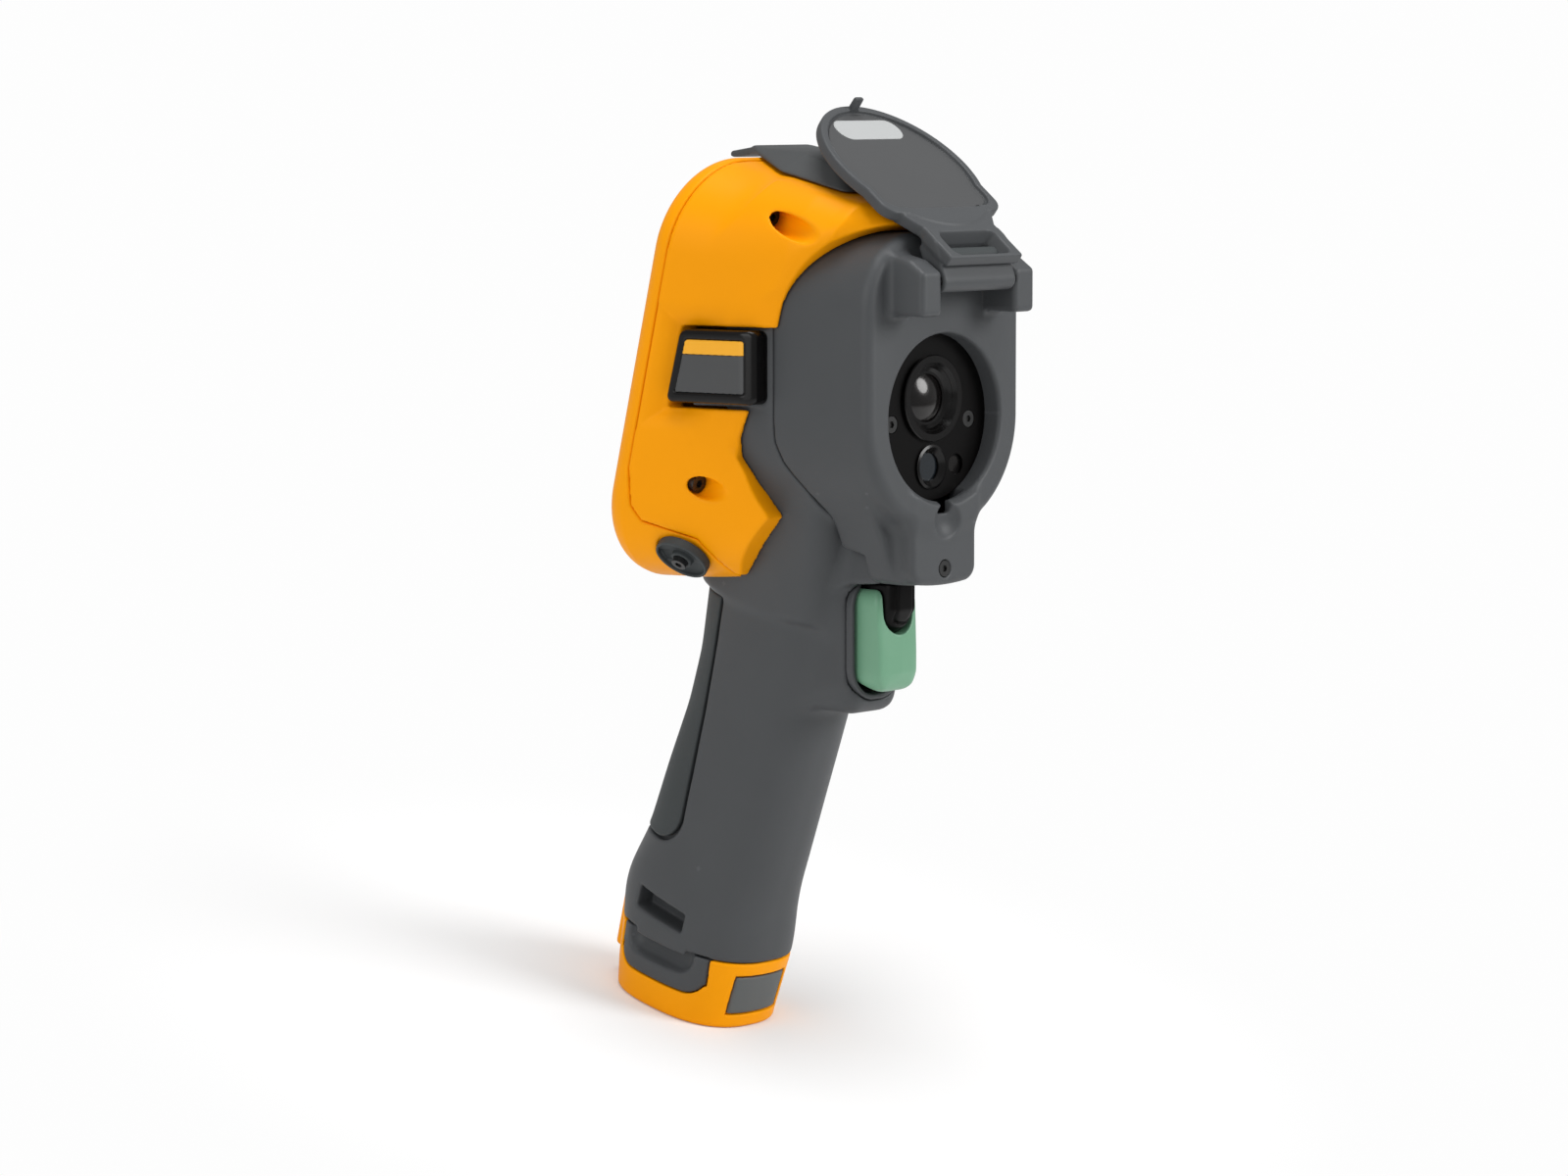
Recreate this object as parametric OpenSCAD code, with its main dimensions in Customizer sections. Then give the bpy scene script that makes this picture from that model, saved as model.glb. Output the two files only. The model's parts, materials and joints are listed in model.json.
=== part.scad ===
// Pistol-grip thermal imaging camera, standing on its battery.
// The lens looks towards -Y and the screen faces +Y. Z = 0 is the flat underside
// of the battery. Head parts are drawn in a frame whose Y axis is the lens axis.

/* [Display housing] */
// Width of the display housing
head_w = 101; // [84:1:122]
// Height of the display housing
head_h = 131; // [109:1:158]
// Height of the housing's underside above the base
grip_h = 135; // [126:1:162]
// Distance from the base's middle back to the housing's rear face
back_y = 33.5; // [31:0.5:40]
// Depth of the rear frame, from the rear face to the seam
frame_d = 8.5; // [8:0.5:12]
// Rounding of the housing's rear edge
back_round = 7; // [4:0.5:8]
// Corner radius of the housing seen from behind
corner_r = 28; // [20:1:32]
// Wall thickness of the moulded shells
wall = 2.5; // [2:0.1:3]

/* [Screen and keys] */
// Width of the screen's window
screen_w = 74; // [62:1:78]
// Height of the screen's window
screen_h = 58; // [48:1:60]
// Height of the screen's middle above the housing's middle
screen_up = 12; // [10:1:13]
// Width of a function key
key_w = 14; // [10:1:16]
// Height of a function key
key_h = 8; // [6:0.5:10]
// Travel of a key
key_travel = 0.8; // [0.5:0.1:1]

/* [Barrel] */
// Angle by which the lens axis points above the horizontal
head_tilt = 14; // [10:1:18]
// Width of the barrel at its front
barrel_w = 69; // [62:1:73]
// Distance from the head's pivot forward to the front face
barrel_l = 45; // [42:1:50]
// Height of the barrel's top above the lens axis
barrel_top = 55; // [50:1:58]
// Rounding of the barrel's upper shoulders
shoulder_r = 22; // [10:1:28]
// Radius of the lens recess
recess_r = 25; // [21:0.5:27]
// Depth of the lens recess
recess_d = 6; // [5:0.5:8]
// Width of the chin below the lens
chin_w = 29; // [25:1:34]
// Distance from the lens axis down to the chin's underside
chin_z = 50; // [46:1:54]

/* [Lens group] */
// Radius of the infrared lens
ir_r = 8; // [6.5:0.5:9]
// Height of the infrared lens above the lens axis
ir_z = 5.5; // [4:0.5:7]
// Radius of the visible camera's window
camera_r = 4.5; // [3.5:0.5:5]
// Radius of the laser's window
laser_r = 2.4; // [2:0.1:3]

/* [Lens cover] */
// Radius of the cover's round end
cover_r = 28; // [26:0.5:30]
// Thickness of the cover
cover_t = 3.5; // [3:0.1:4.2]
// Angle through which the cover is open
cover_open = 232; // [200:1:234]
// Radius of the cover's hinge pin
cover_pin_r = 1.5; // [1.2:0.1:1.8]
// Width between the hinge ears
ear_gap = 33; // [28:0.5:36]

/* [Handle] */
// Width of the handle at its middle
grip_w = 39; // [34:1:46]
// Angle by which the handle leans forward
grip_lean = 4; // [3:0.5:5]
// Height of the joint between handle and battery base
base_h = 22.5; // [20:0.5:27]

/* [Battery] */
// Width of the battery pack
pack_w = 23.6; // [20:0.2:25]
// Depth of the battery pack
pack_d = 42; // [38:0.5:43]
// Height of the battery pack's top above the base
pack_top = 94; // [80:1:98]
// Inward travel of a battery latch
latch_travel = 1.5; // [1:0.1:2]

/* [Trigger] */
// Width of the primary trigger
trigger_w = 18.4; // [16:0.2:20]
// Width of the secondary trigger
second_w = 12.4; // [10:0.2:13]
// Height of the primary trigger
trigger_h = 34; // [30:1:36]
// Radius of the trigger's pivot pin
trigger_pin_r = 1.25; // [1:0.05:1.5]

/* [Clearances] */
// Gap between pieces that move past each other
gap = 0.3; // [0.2:0.05:0.5]
// Gap between fixed pieces
fit = 0.1; // [0.05:0.05:0.2]
// Radial play of a pin in its bore
play = 0.05; // [0.02:0.01:0.1]

/* [Hidden] */
head_mid = grip_h + head_h / 2;
head_top = grip_h + head_h;
seam_y = back_y - frame_d;
lens_y = -7.5;
lens_z = head_mid - 4.5;
front_y = -barrel_l;
plate_y = front_y + recess_d;
plate_t = 2.5;
wall_y = plate_y + plate_t;
cavity_y = wall_y + wall;
parting_y = -9.6;
sleeve_end = 8;
barrel_half = barrel_w / 2;
flare = 4;
chin_back = -28.2;
hinge_y = front_y - 10.5;
hinge_z = 41;
ear_w = 9;
badge_front = -6.2;
badge_back = 17;
cover_in = 10;
cover_mid = hinge_z + 1;
grip_y = 3;
panel_y = back_y - 1;
panel_t = 2.5;
panel_in = panel_y - panel_t;
panel_w = head_w - 17;
panel_h = head_h - 17;
panel_r = corner_r - 9.5;
ledge = 3;
screen_z = head_mid + screen_up;
key_z = screen_z - screen_h / 2 - 13;
speaker_z = head_mid - panel_h / 2 + 12.5;
key_x = [-24, -4, 16];
power_x = 31.5;
power_r = 5;
tongue_top = 33;
trigger_top = -chin_z - 0.4;
trigger_low = trigger_top - trigger_h + 0.8;
trigger_back = -11;
bay_back = -2;
pivot_y = -16;
pivot_z = trigger_top + 2.9;
bezel_h = trigger_h + 1.6;
second_r = second_w / 2;
second_z = trigger_top - 9.2;
laser_at = [11.5, -14.8];
scallop_r = 3.3;
scallop_turn = 12;
screw_up = [head_w / 2 - 16.5, head_top - 11, 2.5];
screw_low = [head_w / 2 - 10.5, head_mid - 29, 7];
cell_r = pack_w / 2 - 2.8;
cell_y = (pack_d - pack_w) / 2;
yellow = "#f5a11c";
grey = "#54565a";
charcoal = "#404446";
black = "#141414";
steel = "#8d9094";

// ---- shared helpers ----

module in_head() translate([0, lens_y, lens_z]) rotate([-head_tilt, 0, 0]) children();

module in_grip() translate([0, grip_y, 0]) rotate([grip_lean, 0, 0]) children();

module both_sides() {
    children();
    mirror([1, 0, 0]) children();
}

// A box given by its low and high corners
module block(low, high) translate(low) cube(high - low);

// A cylinder along Y from y0 to y1, at x and z
module rod_y(r, y0, y1, x = 0, z = 0, fn = 64)
    translate([x, y0, z]) rotate([-90, 0, 0]) cylinder(r = r, h = y1 - y0, $fn = fn);

// A cylinder along X from x0 to x1, at y and z
module rod_x(r, x0, x1, y = 0, z = 0, fn = 64)
    translate([x0, y, z]) rotate([0, 90, 0]) cylinder(r = r, h = x1 - x0, $fn = fn);

// Four thin discs at the corners of a rounded rectangle that stands at y
module corners(w, h, r, y, mid_z)
    for (sx = [-1, 1], sz = [-1, 1])
        rod_y(r, y, y + 0.05, sx * (w / 2 - r), mid_z + sz * (h / 2 - r), 32);

// A rectangle with rounded corners
module rounded(w, h, r) {
    square([w - 2 * r, h], center = true);
    square([w, h - 2 * r], center = true);
    for (sx = [-1, 1], sy = [-1, 1])
        translate([sx * (w / 2 - r), sy * (h / 2 - r)]) circle(r, $fn = 48);
}

// A plate with rounded corners between y0 and y1
module plate(w, h, r, y0, y1, mid_z = 0, mid_x = 0)
    translate([mid_x, y1, mid_z]) rotate([90, 0, 0]) linear_extrude(y1 - y0)
        rounded(w, h, r);

// A profile in the Y-Z plane, extruded across the whole width
module across(half_w = 80)
    translate([-half_w, 0, 0]) rotate([90, 0, 90]) linear_extrude(2 * half_w) children();

// ---- the main outer volumes ----

function blend(a, b, t) = a + (b - a) * t;
function power(v, e) = sign(v) * pow(abs(v), e);

// One closed oval ring of the handle at height z, between two depths
function ring(z, y0, y1, w, grow) = [
    for (i = [0:35]) let (a = 10 * i) [
        (w / 2 + grow) * power(cos(a), 0.8),
        (y0 + y1) / 2 + ((y1 - y0) / 2 + grow) * power(sin(a), 0.8), z]];

// A closed skin through rings of the same number of points
module skin(rings) {
    n = len(rings[0]);
    last = (len(rings) - 1) * n;
    sides = [for (k = [0:len(rings) - 2], i = [0:n - 1]) let (j = (i + 1) % n)
        [k * n + i, (k + 1) * n + i, (k + 1) * n + j, k * n + j]];
    polyhedron(points = [for (r = rings) each r],
               faces = concat([[for (i = [0:n - 1]) i]],
                              [[for (i = [0:n - 1]) last + n - 1 - i]], sides));
}

// Handle outline from the base up: height, front, back and width beyond the grip's
handle_rings = [[0, -19.5, 27, 1], [1.5, -21, 28.5, 3.5], [10, -21.8, 29.8, 5],
                [24, -22.3, 31, 5.5], [31, -22.6, 32.6, 5], [38, -23.2, 32.2, 4],
                [46, -23.8, 29.8, 2], [54, -24.6, 27.2, 1], [75, -26.5, 24.3, 0],
                [96, -28.6, 20.6, -0.5], [114, -30, 19.2, 0.5],
                [grip_h, -32.5, 20.5, 2.5], [grip_h + 16, -33, 21, 3]];

module handle_volume(grow = 0)
    skin([for (h = handle_rings) ring(h[0], h[1], h[2], grip_w + h[3], grow)]);

// Display housing: full size at the seam, smaller towards the front
module head_volume(inset = 0) {
    front_w = head_w - 32;
    front_h = head_h - 13;
    hull() {
        for (a = [0:30:90]) {
            cut = inset + back_round * (1 - cos(a));
            corners(head_w - 2 * cut, head_h - 2 * cut, corner_r - cut,
                    back_y - 0.05 - 2 * inset - back_round * (1 - sin(a)), head_mid);
        }
        corners(head_w - 2 * inset, head_h - 2 * inset, corner_r - inset, seam_y, head_mid);
        corners(front_w - 2 * inset, front_h - 2 * inset, corner_r - 6 - inset,
                -21 + inset, head_mid + 5.5);
    }
}

// Hood over the top of the barrel
module hood_volume()
    hull() {
        rod_y(14, -12, -11.9, -(head_w - 32) / 2 + 14, head_top - 15, 32);
        rod_y(14, -12, -11.9, (head_w - 32) / 2 - 14, head_top - 15, 32);
        rod_y(10, -34.5, -34.4, -17, head_top - 13.5, 32);
        rod_y(10, -34.5, -34.4, 17, head_top - 13.5, 32);
    }

// Barrel in the lens frame: round below, square shouldered above
module barrel_volume(grow = 0, y0 = front_y, y1 = sleeve_end)
    hull() {
        rod_y(barrel_half - 2 + grow, y0, y0 + 0.05, fn = 48);
        for (sx = [-1, 1])
            rod_y(shoulder_r - 1, y0, y0 + 0.05, sx * (barrel_half - shoulder_r - 1.5 + grow),
                  barrel_top - shoulder_r - 1.5 + grow, 48);
        rod_y(barrel_half + grow, y0 + 2.2, y0 + 2.25, fn = 48);
        for (sx = [-1, 1])
            rod_y(shoulder_r, y0 + 2.2, y0 + 2.25, sx * (barrel_half - shoulder_r + grow),
                  barrel_top - shoulder_r + grow, 48);
        rod_y(barrel_half + flare + grow, y1 - 0.05, y1, fn = 48);
        for (sx = [-1, 1])
            rod_y(shoulder_r, y1 - 0.05, y1, sx * (barrel_half + flare - shoulder_r + grow),
                  barrel_top - shoulder_r + grow, 48);
    }

// Neck that widens from the top of the handle to the barrel
module neck_volume(grow = 0)
    hull() {
        in_head() {
            rod_y(barrel_half - 1 + grow, -21 - grow, -20.9 - grow, fn = 48);
            rod_y(barrel_half + flare - 1 + grow, sleeve_end - 0.1, sleeve_end, fn = 48);
        }
        for (sx = [-1, 1]) {
            translate([sx * 10.5, -22.5, grip_h + 1])
                cylinder(r = 10 + grow, h = 3, $fn = 32);
            translate([sx * 10, 9, grip_h + 1])
                cylinder(r = 11 + grow, h = 3, $fn = 32);
        }
    }

// Where the barrel housing ends against the handle housing, seen from the side
module parting_profile()
    polygon([[-90, barrel_top + 20], [parting_y, barrel_top + 20], [parting_y, -7],
             [parting_y - 1.7, -13], [parting_y - 6, -20.5], [parting_y - 10, -29.5],
             [parting_y - 10, 11.2 - chin_z], [chin_back, 9 - chin_z],
             [chin_back, -chin_z - 10], [-90, -chin_z - 10]]);

// The side of the barrel that the yellow shell leaves bare
module face_profile() {
    translate([-50, 20]) circle(38.6, $fn = 96);
    translate([-25, -12]) circle(26.2, $fn = 96);
    polygon([[-100, 24], [-11.3, 24], [0.6, -6], [1.2, -12], [-6.3, -30],
             [16, -52], [16, -90], [-100, -90]]);
}

// The part of the display housing that belongs to the rear frame
module rear_profile()
    polygon([[back_y + 20, grip_h - 20], [back_y + 20, head_top + 20],
             [seam_y, head_top + 20], [seam_y, grip_h + 36], [seam_y - 2.5, grip_h + 25],
             [seam_y - 6, grip_h + 21], [2, grip_h + 20], [-2.5, grip_h + 14],
             [-6, grip_h + 6], [-6, grip_h - 20]]);

// Side window in the yellow shell, for the badge; y runs back to the display's rake
module badge_window(grow = 0) {
    intersection() {
        in_head() both_sides()
            block([30, front_y + 10, 2.5 - grow], [60, 40, 26.5 + grow]);
        block([-90, -60, 0], [90, badge_back + 0.8 + grow, 400]);
    }
}

// Frame of a strap anchor: its Z axis points out of the housing's lower corner
module at_anchor() both_sides()
    translate([-40, 7, grip_h + 10.8]) rotate([0, -137, 0]) rotate([12, 0, 0])
        children();

// ---- display housing ----

module rear_frame() color(yellow) difference() {
    intersection() {
        head_volume();
        across() rear_profile();
    }
    difference() {
        head_volume(wall);
        both_sides() {
            rod_y(3.2, seam_y - 1, back_y - 4, screw_up[0], screw_up[1], 32);
            rod_y(3.2, seam_y - 1, back_y - 4, screw_low[0], screw_low[1], 32);
        }
        at_anchor() cylinder(r = 6, h = 24, center = true, $fn = 48);
    }
    plate(panel_w, panel_h, panel_r, panel_in, back_y + 1, head_mid);
    plate(panel_w - 2 * ledge, panel_h - 2 * ledge, panel_r - ledge, seam_y, back_y,
          head_mid);
    both_sides() {
        rod_y(1.2, seam_y - 1, back_y - 5, screw_up[0], screw_up[1]);
        rod_y(1.2, seam_y - 1, back_y - 5, screw_low[0], screw_low[1]);
    }
    handle_volume(gap);
    neck_volume(gap);
    at_anchor() translate([0, 0, -3.2]) cylinder(r = 8.6, h = 20, $fn = 64);
    at_anchor() translate([0, 0, -9]) cylinder(r = 1.5, h = 20, $fn = 32);
}

// The tilted scallop stops short of the screw's seat, which is square to the screw
module scallop(at) both_sides() {
    translate([at[0], at[2] - 0.8, at[1]]) rotate([0, 0, scallop_turn])
        rod_y(scallop_r, -50, 0);
    rod_y(3.05, at[2] - 1.7, at[2], at[0], at[1]);
}

// Solid material round a screw of the front shell
module shell_boss(at) both_sides() {
    rod_y(5.6, -18, at[2] + 3, at[0], at[1], 32);
    rod_y(3.2, at[2], seam_y + 1, at[0], at[1], 32);
}

module front_shell() color(yellow) difference() {
    union() {
        head_volume();
        hood_volume();
    }
    across() rear_profile();
    difference() {
        head_volume(wall);
        shell_boss(screw_up);
        shell_boss(screw_low);
    }
    in_head() {
        barrel_volume(gap, front_y - 3, sleeve_end + 4);
        across() face_profile();
    }
    neck_volume(gap);
    badge_window(gap);
    scallop(screw_up);
    scallop(screw_low);
    both_sides() {
        rod_y(1.6, -10, seam_y + 1, screw_up[0], screw_up[1]);
        rod_y(1.6, -10, seam_y + 1, screw_low[0], screw_low[1]);
    }
    handle_volume(gap);
    block([-15, -4, head_top - 10], [15, 20, head_top + 5]);
}

module head_screws() color(steel) both_sides()
    for (s = [screw_up, screw_low]) {
        rod_y(1.2 - fit / 2, s[2], back_y - 5.5, s[0], s[1]);
        difference() {
            rod_y(2.8, s[2] - 2.2, s[2], s[0], s[1]);
            rod_y(1.3, s[2] - 3, s[2] - 1, s[0], s[1], 6);
        }
    }

module rear_panel() color(charcoal) {
    difference() {
        plate(panel_w - 2 * fit, panel_h - 2 * fit, panel_r - fit, panel_in, panel_y,
              head_mid);
        plate(screen_w + 2 * fit, screen_h + 2 * fit, 3 + fit, panel_y - 1.6, panel_y + 1,
              screen_z);
        plate(screen_w - 7, screen_h - 7, 1.5, panel_in - 1, panel_y, screen_z);
        for (x = key_x)
            plate(key_w + 2 * gap, key_h + 2 * gap, 2.5 + gap, panel_in - 1, panel_y + 1,
                  key_z, x);
        rod_y(power_r + gap, panel_in - 1, panel_y + 1, power_x, key_z);
        for (i = [-2:2], j = [-1:1])
            rod_y(0.7, panel_in - 1, panel_y + 1, 2.6 * i, speaker_z + 2.6 * j, 16);
    }
    for (sx = [-1, 1]) {
        rod_y(2.4, 28.4, panel_in + 0.1, sx * 14, key_z + 8, 24);
        rod_y(2.4, 22.1, panel_in + 0.1, sx * 28, screen_z + screen_h / 2 + 6, 24);
        rod_y(2.4, 22.1, panel_in + 0.1, sx * 27, speaker_z + 1, 24);
    }
}

module lcd_window() color("#1b2226")
    plate(screen_w, screen_h, 3, panel_y - 1.2, panel_y, screen_z);

module window_gasket() color(black) difference() {
    plate(screen_w, screen_h, 3, panel_y - 1.6, panel_y - 1.2, screen_z);
    plate(screen_w - 7, screen_h - 7, 1.5, panel_y - 2, panel_y - 1, screen_z);
}

module lcd_module() color("#a0a4a8")
    block([4 - screen_w / 2, panel_in - 6, screen_z - screen_h / 2 + 1],
          [screen_w / 2 - 4, panel_in, screen_z + screen_h / 2 - 1]);

module key(x) color(grey) {
    plate(key_w, key_h, 2.5, panel_in - 1.3, panel_y + 1, key_z, x);
    plate(key_w + 2, key_h + 2, 2.5, panel_in - 1.3, panel_in - 0.2, key_z, x);
}

module key_left() key(key_x[0]);

module key_middle() key(key_x[1]);

module key_right() key(key_x[2]);

module power_button() color(grey) {
    rod_y(power_r, panel_in - 1.3, panel_y + 1, power_x, key_z);
    rod_y(power_r + 1, panel_in - 1.3, panel_in - 0.2, power_x, key_z);
}

module key_board() color("#1f5c36") {
    difference() {
        block([-33, 25.4, key_z - 6], [power_x + 5, 27, key_z + 10.5]);
        rod_y(1, 25, 28, 0, key_z + 8, 24);
    }
    block([-16.5, 26.9, key_z + 5.6], [-11.5, 28.4, key_z + 10.4]);
    block([11.5, 26.9, key_z + 5.6], [16.5, 28.4, key_z + 10.4]);
    for (x = concat(key_x, [power_x]))
        rod_y(2, 26.9, panel_in - 1.3 - key_travel - 0.1, x, key_z, 24);
}

module main_board() color("#1f5c36") {
    difference() {
        plate(head_w - 13, head_h - 34, 16, 20.5, 22.1, head_mid + 5);
        both_sides() {
            rod_y(4, 18, 30, screw_up[0], screw_up[1]);
            rod_y(4, 18, 30, screw_low[0], screw_low[1]);
        }
    }
    block([-22, 17, head_mid + 2], [-2, 20.6, head_mid + 20]);
    block([6, 18, head_mid - 2], [20, 20.6, head_mid + 12]);
    block([-14, 22, grip_h + 28], [14, 24, grip_h + 32]);
}

module speaker() color(black) {
    rod_y(7.5, 27, panel_in, 0, speaker_z);
    rod_y(5, 24.5, 27.1, 0, speaker_z);
}

// ---- barrel and lens group, drawn in the lens frame ----

module ear() difference() {
    hull() {
        block([ear_gap / 2, hinge_y - 2.5, hinge_z - 10], [ear_gap / 2 + ear_w, -44,
              hinge_z + 3]);
        block([ear_gap / 2, hinge_y + 3, hinge_z - 10], [ear_gap / 2 + ear_w, -44,
              hinge_z + 6.5]);
        block([ear_gap / 2, -44, hinge_z - 10], [ear_gap / 2 + ear_w - 1, -41,
              barrel_top - 5.5]);
    }
    rod_x(cover_pin_r + fit / 2, ear_gap / 2 - 1, ear_gap / 2 + 7.6, hinge_y, hinge_z);
}

module chin()
    hull()
        for (sx = [-1, 1]) {
            translate([sx * (chin_w / 2 - 3), front_y + 3, -chin_z])
                cylinder(r = 3, h = 26, $fn = 32);
            block([sx < 0 ? -chin_w / 2 : chin_w / 2 - 1, chin_back - 1, -chin_z],
                  [sx < 0 ? 1 - chin_w / 2 : chin_w / 2, chin_back, -chin_z + 26]);
        }

// Web that carries the barrel's round underside down into the chin
module chin_web()
    hull() {
        rod_y(barrel_half, front_y + 9, -19, fn = 48);
        block([-chin_w / 2, front_y + 8, 2 - chin_z], [chin_w / 2, chin_back, -30]);
        block([-chin_w / 2 - 3, chin_back, 10 - chin_z], [chin_w / 2 + 3, -19, -30]);
    }

module barrel_housing() color(grey) in_head() difference() {
    union() {
        intersection() {
            union() {
                barrel_volume();
                chin_web();
            }
            across() parting_profile();
        }
        chin();
        both_sides() ear();
    }
    barrel_volume(-wall, cavity_y, sleeve_end + 3);
    block([3 - chin_w / 2, front_y + 3, 3 - chin_z], [chin_w / 2 - 3, chin_back + 1, -20]);
    rod_y(recess_r, front_y - 1, wall_y);
    rod_y(12.2, plate_y, cavity_y + 1, 0, ir_z);
    rod_y(camera_r + 1.2, plate_y, cavity_y + 1, 0, -15);
    rod_y(laser_r + 1, plate_y, cavity_y + 1, laser_at[0], laser_at[1]);
    both_sides() rod_y(1, wall_y - 1, cavity_y - 0.4, 17.4, -1.5);
    rod_y(3.6, front_y - 1, front_y + 8, 0, -recess_r - 0.8);
    translate([0, front_y - 6.2, -recess_r - 6]) sphere(r = 8, $fn = 48);
    rod_y(2.6, front_y - 1, front_y + 1.4, 0, 5 - chin_z);
    rod_y(1.3, front_y, front_y + 10, 0, 5 - chin_z);
}

module lens_plate() color(black) in_head() difference() {
    rod_y(recess_r - fit, plate_y, wall_y);
    rod_y(ir_r + 1.9, plate_y - 1, wall_y + 1, 0, ir_z);
    rod_y(camera_r + 1, plate_y - 1, wall_y + 1, 0, -15);
    rod_y(laser_r + 0.1, plate_y + 0.8, wall_y + 1, laser_at[0], laser_at[1]);
    rod_y(laser_r + 0.8, plate_y - 1, plate_y + 0.8, laser_at[0], laser_at[1]);
    both_sides() {
        rod_y(1.1, plate_y - 1, wall_y + 1, 17.4, -1.5);
        rod_y(2.7, plate_y - 1, plate_y + 1.2, 17.4, -1.5);
    }
}

// Rings and lenses turned about the lens axis; profile points are (radius, depth)
module turned(z = 0, x = 0)
    translate([x, 0, z]) rotate([-90, 0, 0]) rotate_extrude($fn = 96) children();

module ir_lens_ring() color(black) in_head() turned(ir_z)
    polygon([[ir_r + 5, plate_y - 0.2], [ir_r + 5, plate_y - 1.1],
             [ir_r + 4.7, plate_y - 1.4], [ir_r + 2.7, plate_y - 1.4],
             [ir_r + 1, plate_y + 0.8], [ir_r, plate_y + 1.6], [ir_r - 0.8, plate_y + 1.6],
             [ir_r - 0.8, plate_y + 15], [ir_r + 1.7, plate_y + 15],
             [ir_r + 1.7, plate_y - 0.2]]);

module ir_lens() color("#1a1412") in_head() {
    intersection() {
        rod_y(ir_r - 0.9, plate_y - 4, plate_y + 6, 0, ir_z);
        translate([0, plate_y + 14, ir_z]) sphere(r = 14, $fn = 96);
    }
    rod_y(ir_r - 0.9, plate_y + 5.9, plate_y + 9, 0, ir_z);
}

module ir_engine() color("#a0a4a8") in_head() {
    block([-17, plate_y + 15, ir_z - 17], [17, plate_y + 30, ir_z + 17]);
    block([-14, plate_y + 29.9, ir_z - 14], [14, plate_y + 33, ir_z + 14]);
}

module camera_ring() color(black) in_head() turned(-15)
    polygon([[camera_r + 2.2, plate_y], [camera_r + 2.2, plate_y - 0.6],
             [camera_r + 1.4, plate_y - 0.9], [camera_r - 0.2, plate_y + 0.5],
             [camera_r - 0.2, plate_y + 3], [camera_r + 0.9, plate_y + 3],
             [camera_r + 0.9, plate_y]]);

module camera_window() color("#1b2226") in_head()
    rod_y(camera_r - 0.3, plate_y + 1.2, plate_y + 2.2, 0, -15);

module camera_module() color(black) in_head() {
    rod_y(camera_r + 0.7, plate_y + 3, cavity_y + 0.1, 0, -15);
    block([-5, cavity_y, -20], [5, cavity_y + 6, -13]);
}

module laser_window() color("#2a0f10") in_head()
    rod_y(laser_r, plate_y + 0.9, plate_y + 1.7, laser_at[0], laser_at[1]);

module laser_module() color("#b48a3c") in_head() {
    rod_y(laser_r, plate_y + 1.7, cavity_y + 0.1, laser_at[0], laser_at[1]);
    rod_y(laser_r + 1.2, cavity_y, cavity_y + 9, laser_at[0], laser_at[1]);
}

module screw_y(x, y, z, r, shank_r, length) {
    difference() {
        rod_y(r, y, y + 1.1, x, z);
        rod_y(r * 0.45, y - 1, y + 0.7, x, z, 6);
    }
    rod_y(shank_r, y + 1, y + length, x, z);
}

module lens_screws() color(steel) in_head()
    both_sides() screw_y(17.4, plate_y + 0.1, -1.5, 2.5, 0.95, 4.2);

module chin_screw() color(steel) in_head()
    screw_y(0, front_y + 0.3, 5 - chin_z, 2.4, 1.2, 9);

// ---- lens cover, drawn hanging closed, then swung open about its pin ----

module swung_open() in_head() translate([0, hinge_y, hinge_z])
    rotate([-cover_open, 0, 0]) children();

module cover_outline(grow = 0) {
    translate([0, -cover_mid]) circle(cover_r + grow, $fn = 96);
    translate([0, -cover_mid + 11]) square([2 * cover_r - 4 + 2 * grow,
                                            22 + 2 * grow], center = true);
}

module cover_plate(y0, y1, grow = 0)
    translate([0, y1, 0]) rotate([90, 0, 0]) linear_extrude(y1 - y0) cover_outline(grow);

module lens_cover() color(grey) swung_open() difference() {
    union() {
        cover_plate(cover_in - cover_t, cover_in);
        hull() {
            rod_x(3.2, gap - ear_gap / 2, ear_gap / 2 - gap, 0, 0, 32);
            block([gap - ear_gap / 2, 3, -12], [ear_gap / 2 - gap, cover_in - 1, -9]);
        }
        block([gap - ear_gap / 2, cover_in - cover_t, -22],
              [ear_gap / 2 - gap, cover_in - 1, -9]);
        hull() {
            block([-2, cover_in - 1, 1.2 - cover_mid - cover_r],
                  [2, cover_in, 3.4 - cover_mid - cover_r]);
            block([-1.8, cover_in + 3.6, 1.2 - cover_mid - cover_r],
                  [1.8, cover_in + 4.4, 2.8 - cover_mid - cover_r]);
        }
    }
    cover_plate(cover_in - 1.2, cover_in + 0.1, -2.5);
    rod_x(cover_pin_r + play, -ear_gap, ear_gap);
    block([-11, -6, -9], [11, 12, -4]);
}

module cover_label() color("#3c3e40") swung_open()
    cover_plate(cover_in - 1.2, cover_in - 0.9, -3.2);

module hinge_pin() color(steel) in_head()
    rod_x(cover_pin_r, -ear_gap / 2 - 7.5, ear_gap / 2 + 7.5, hinge_y, hinge_z);

// ---- top door and ports ----

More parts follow.
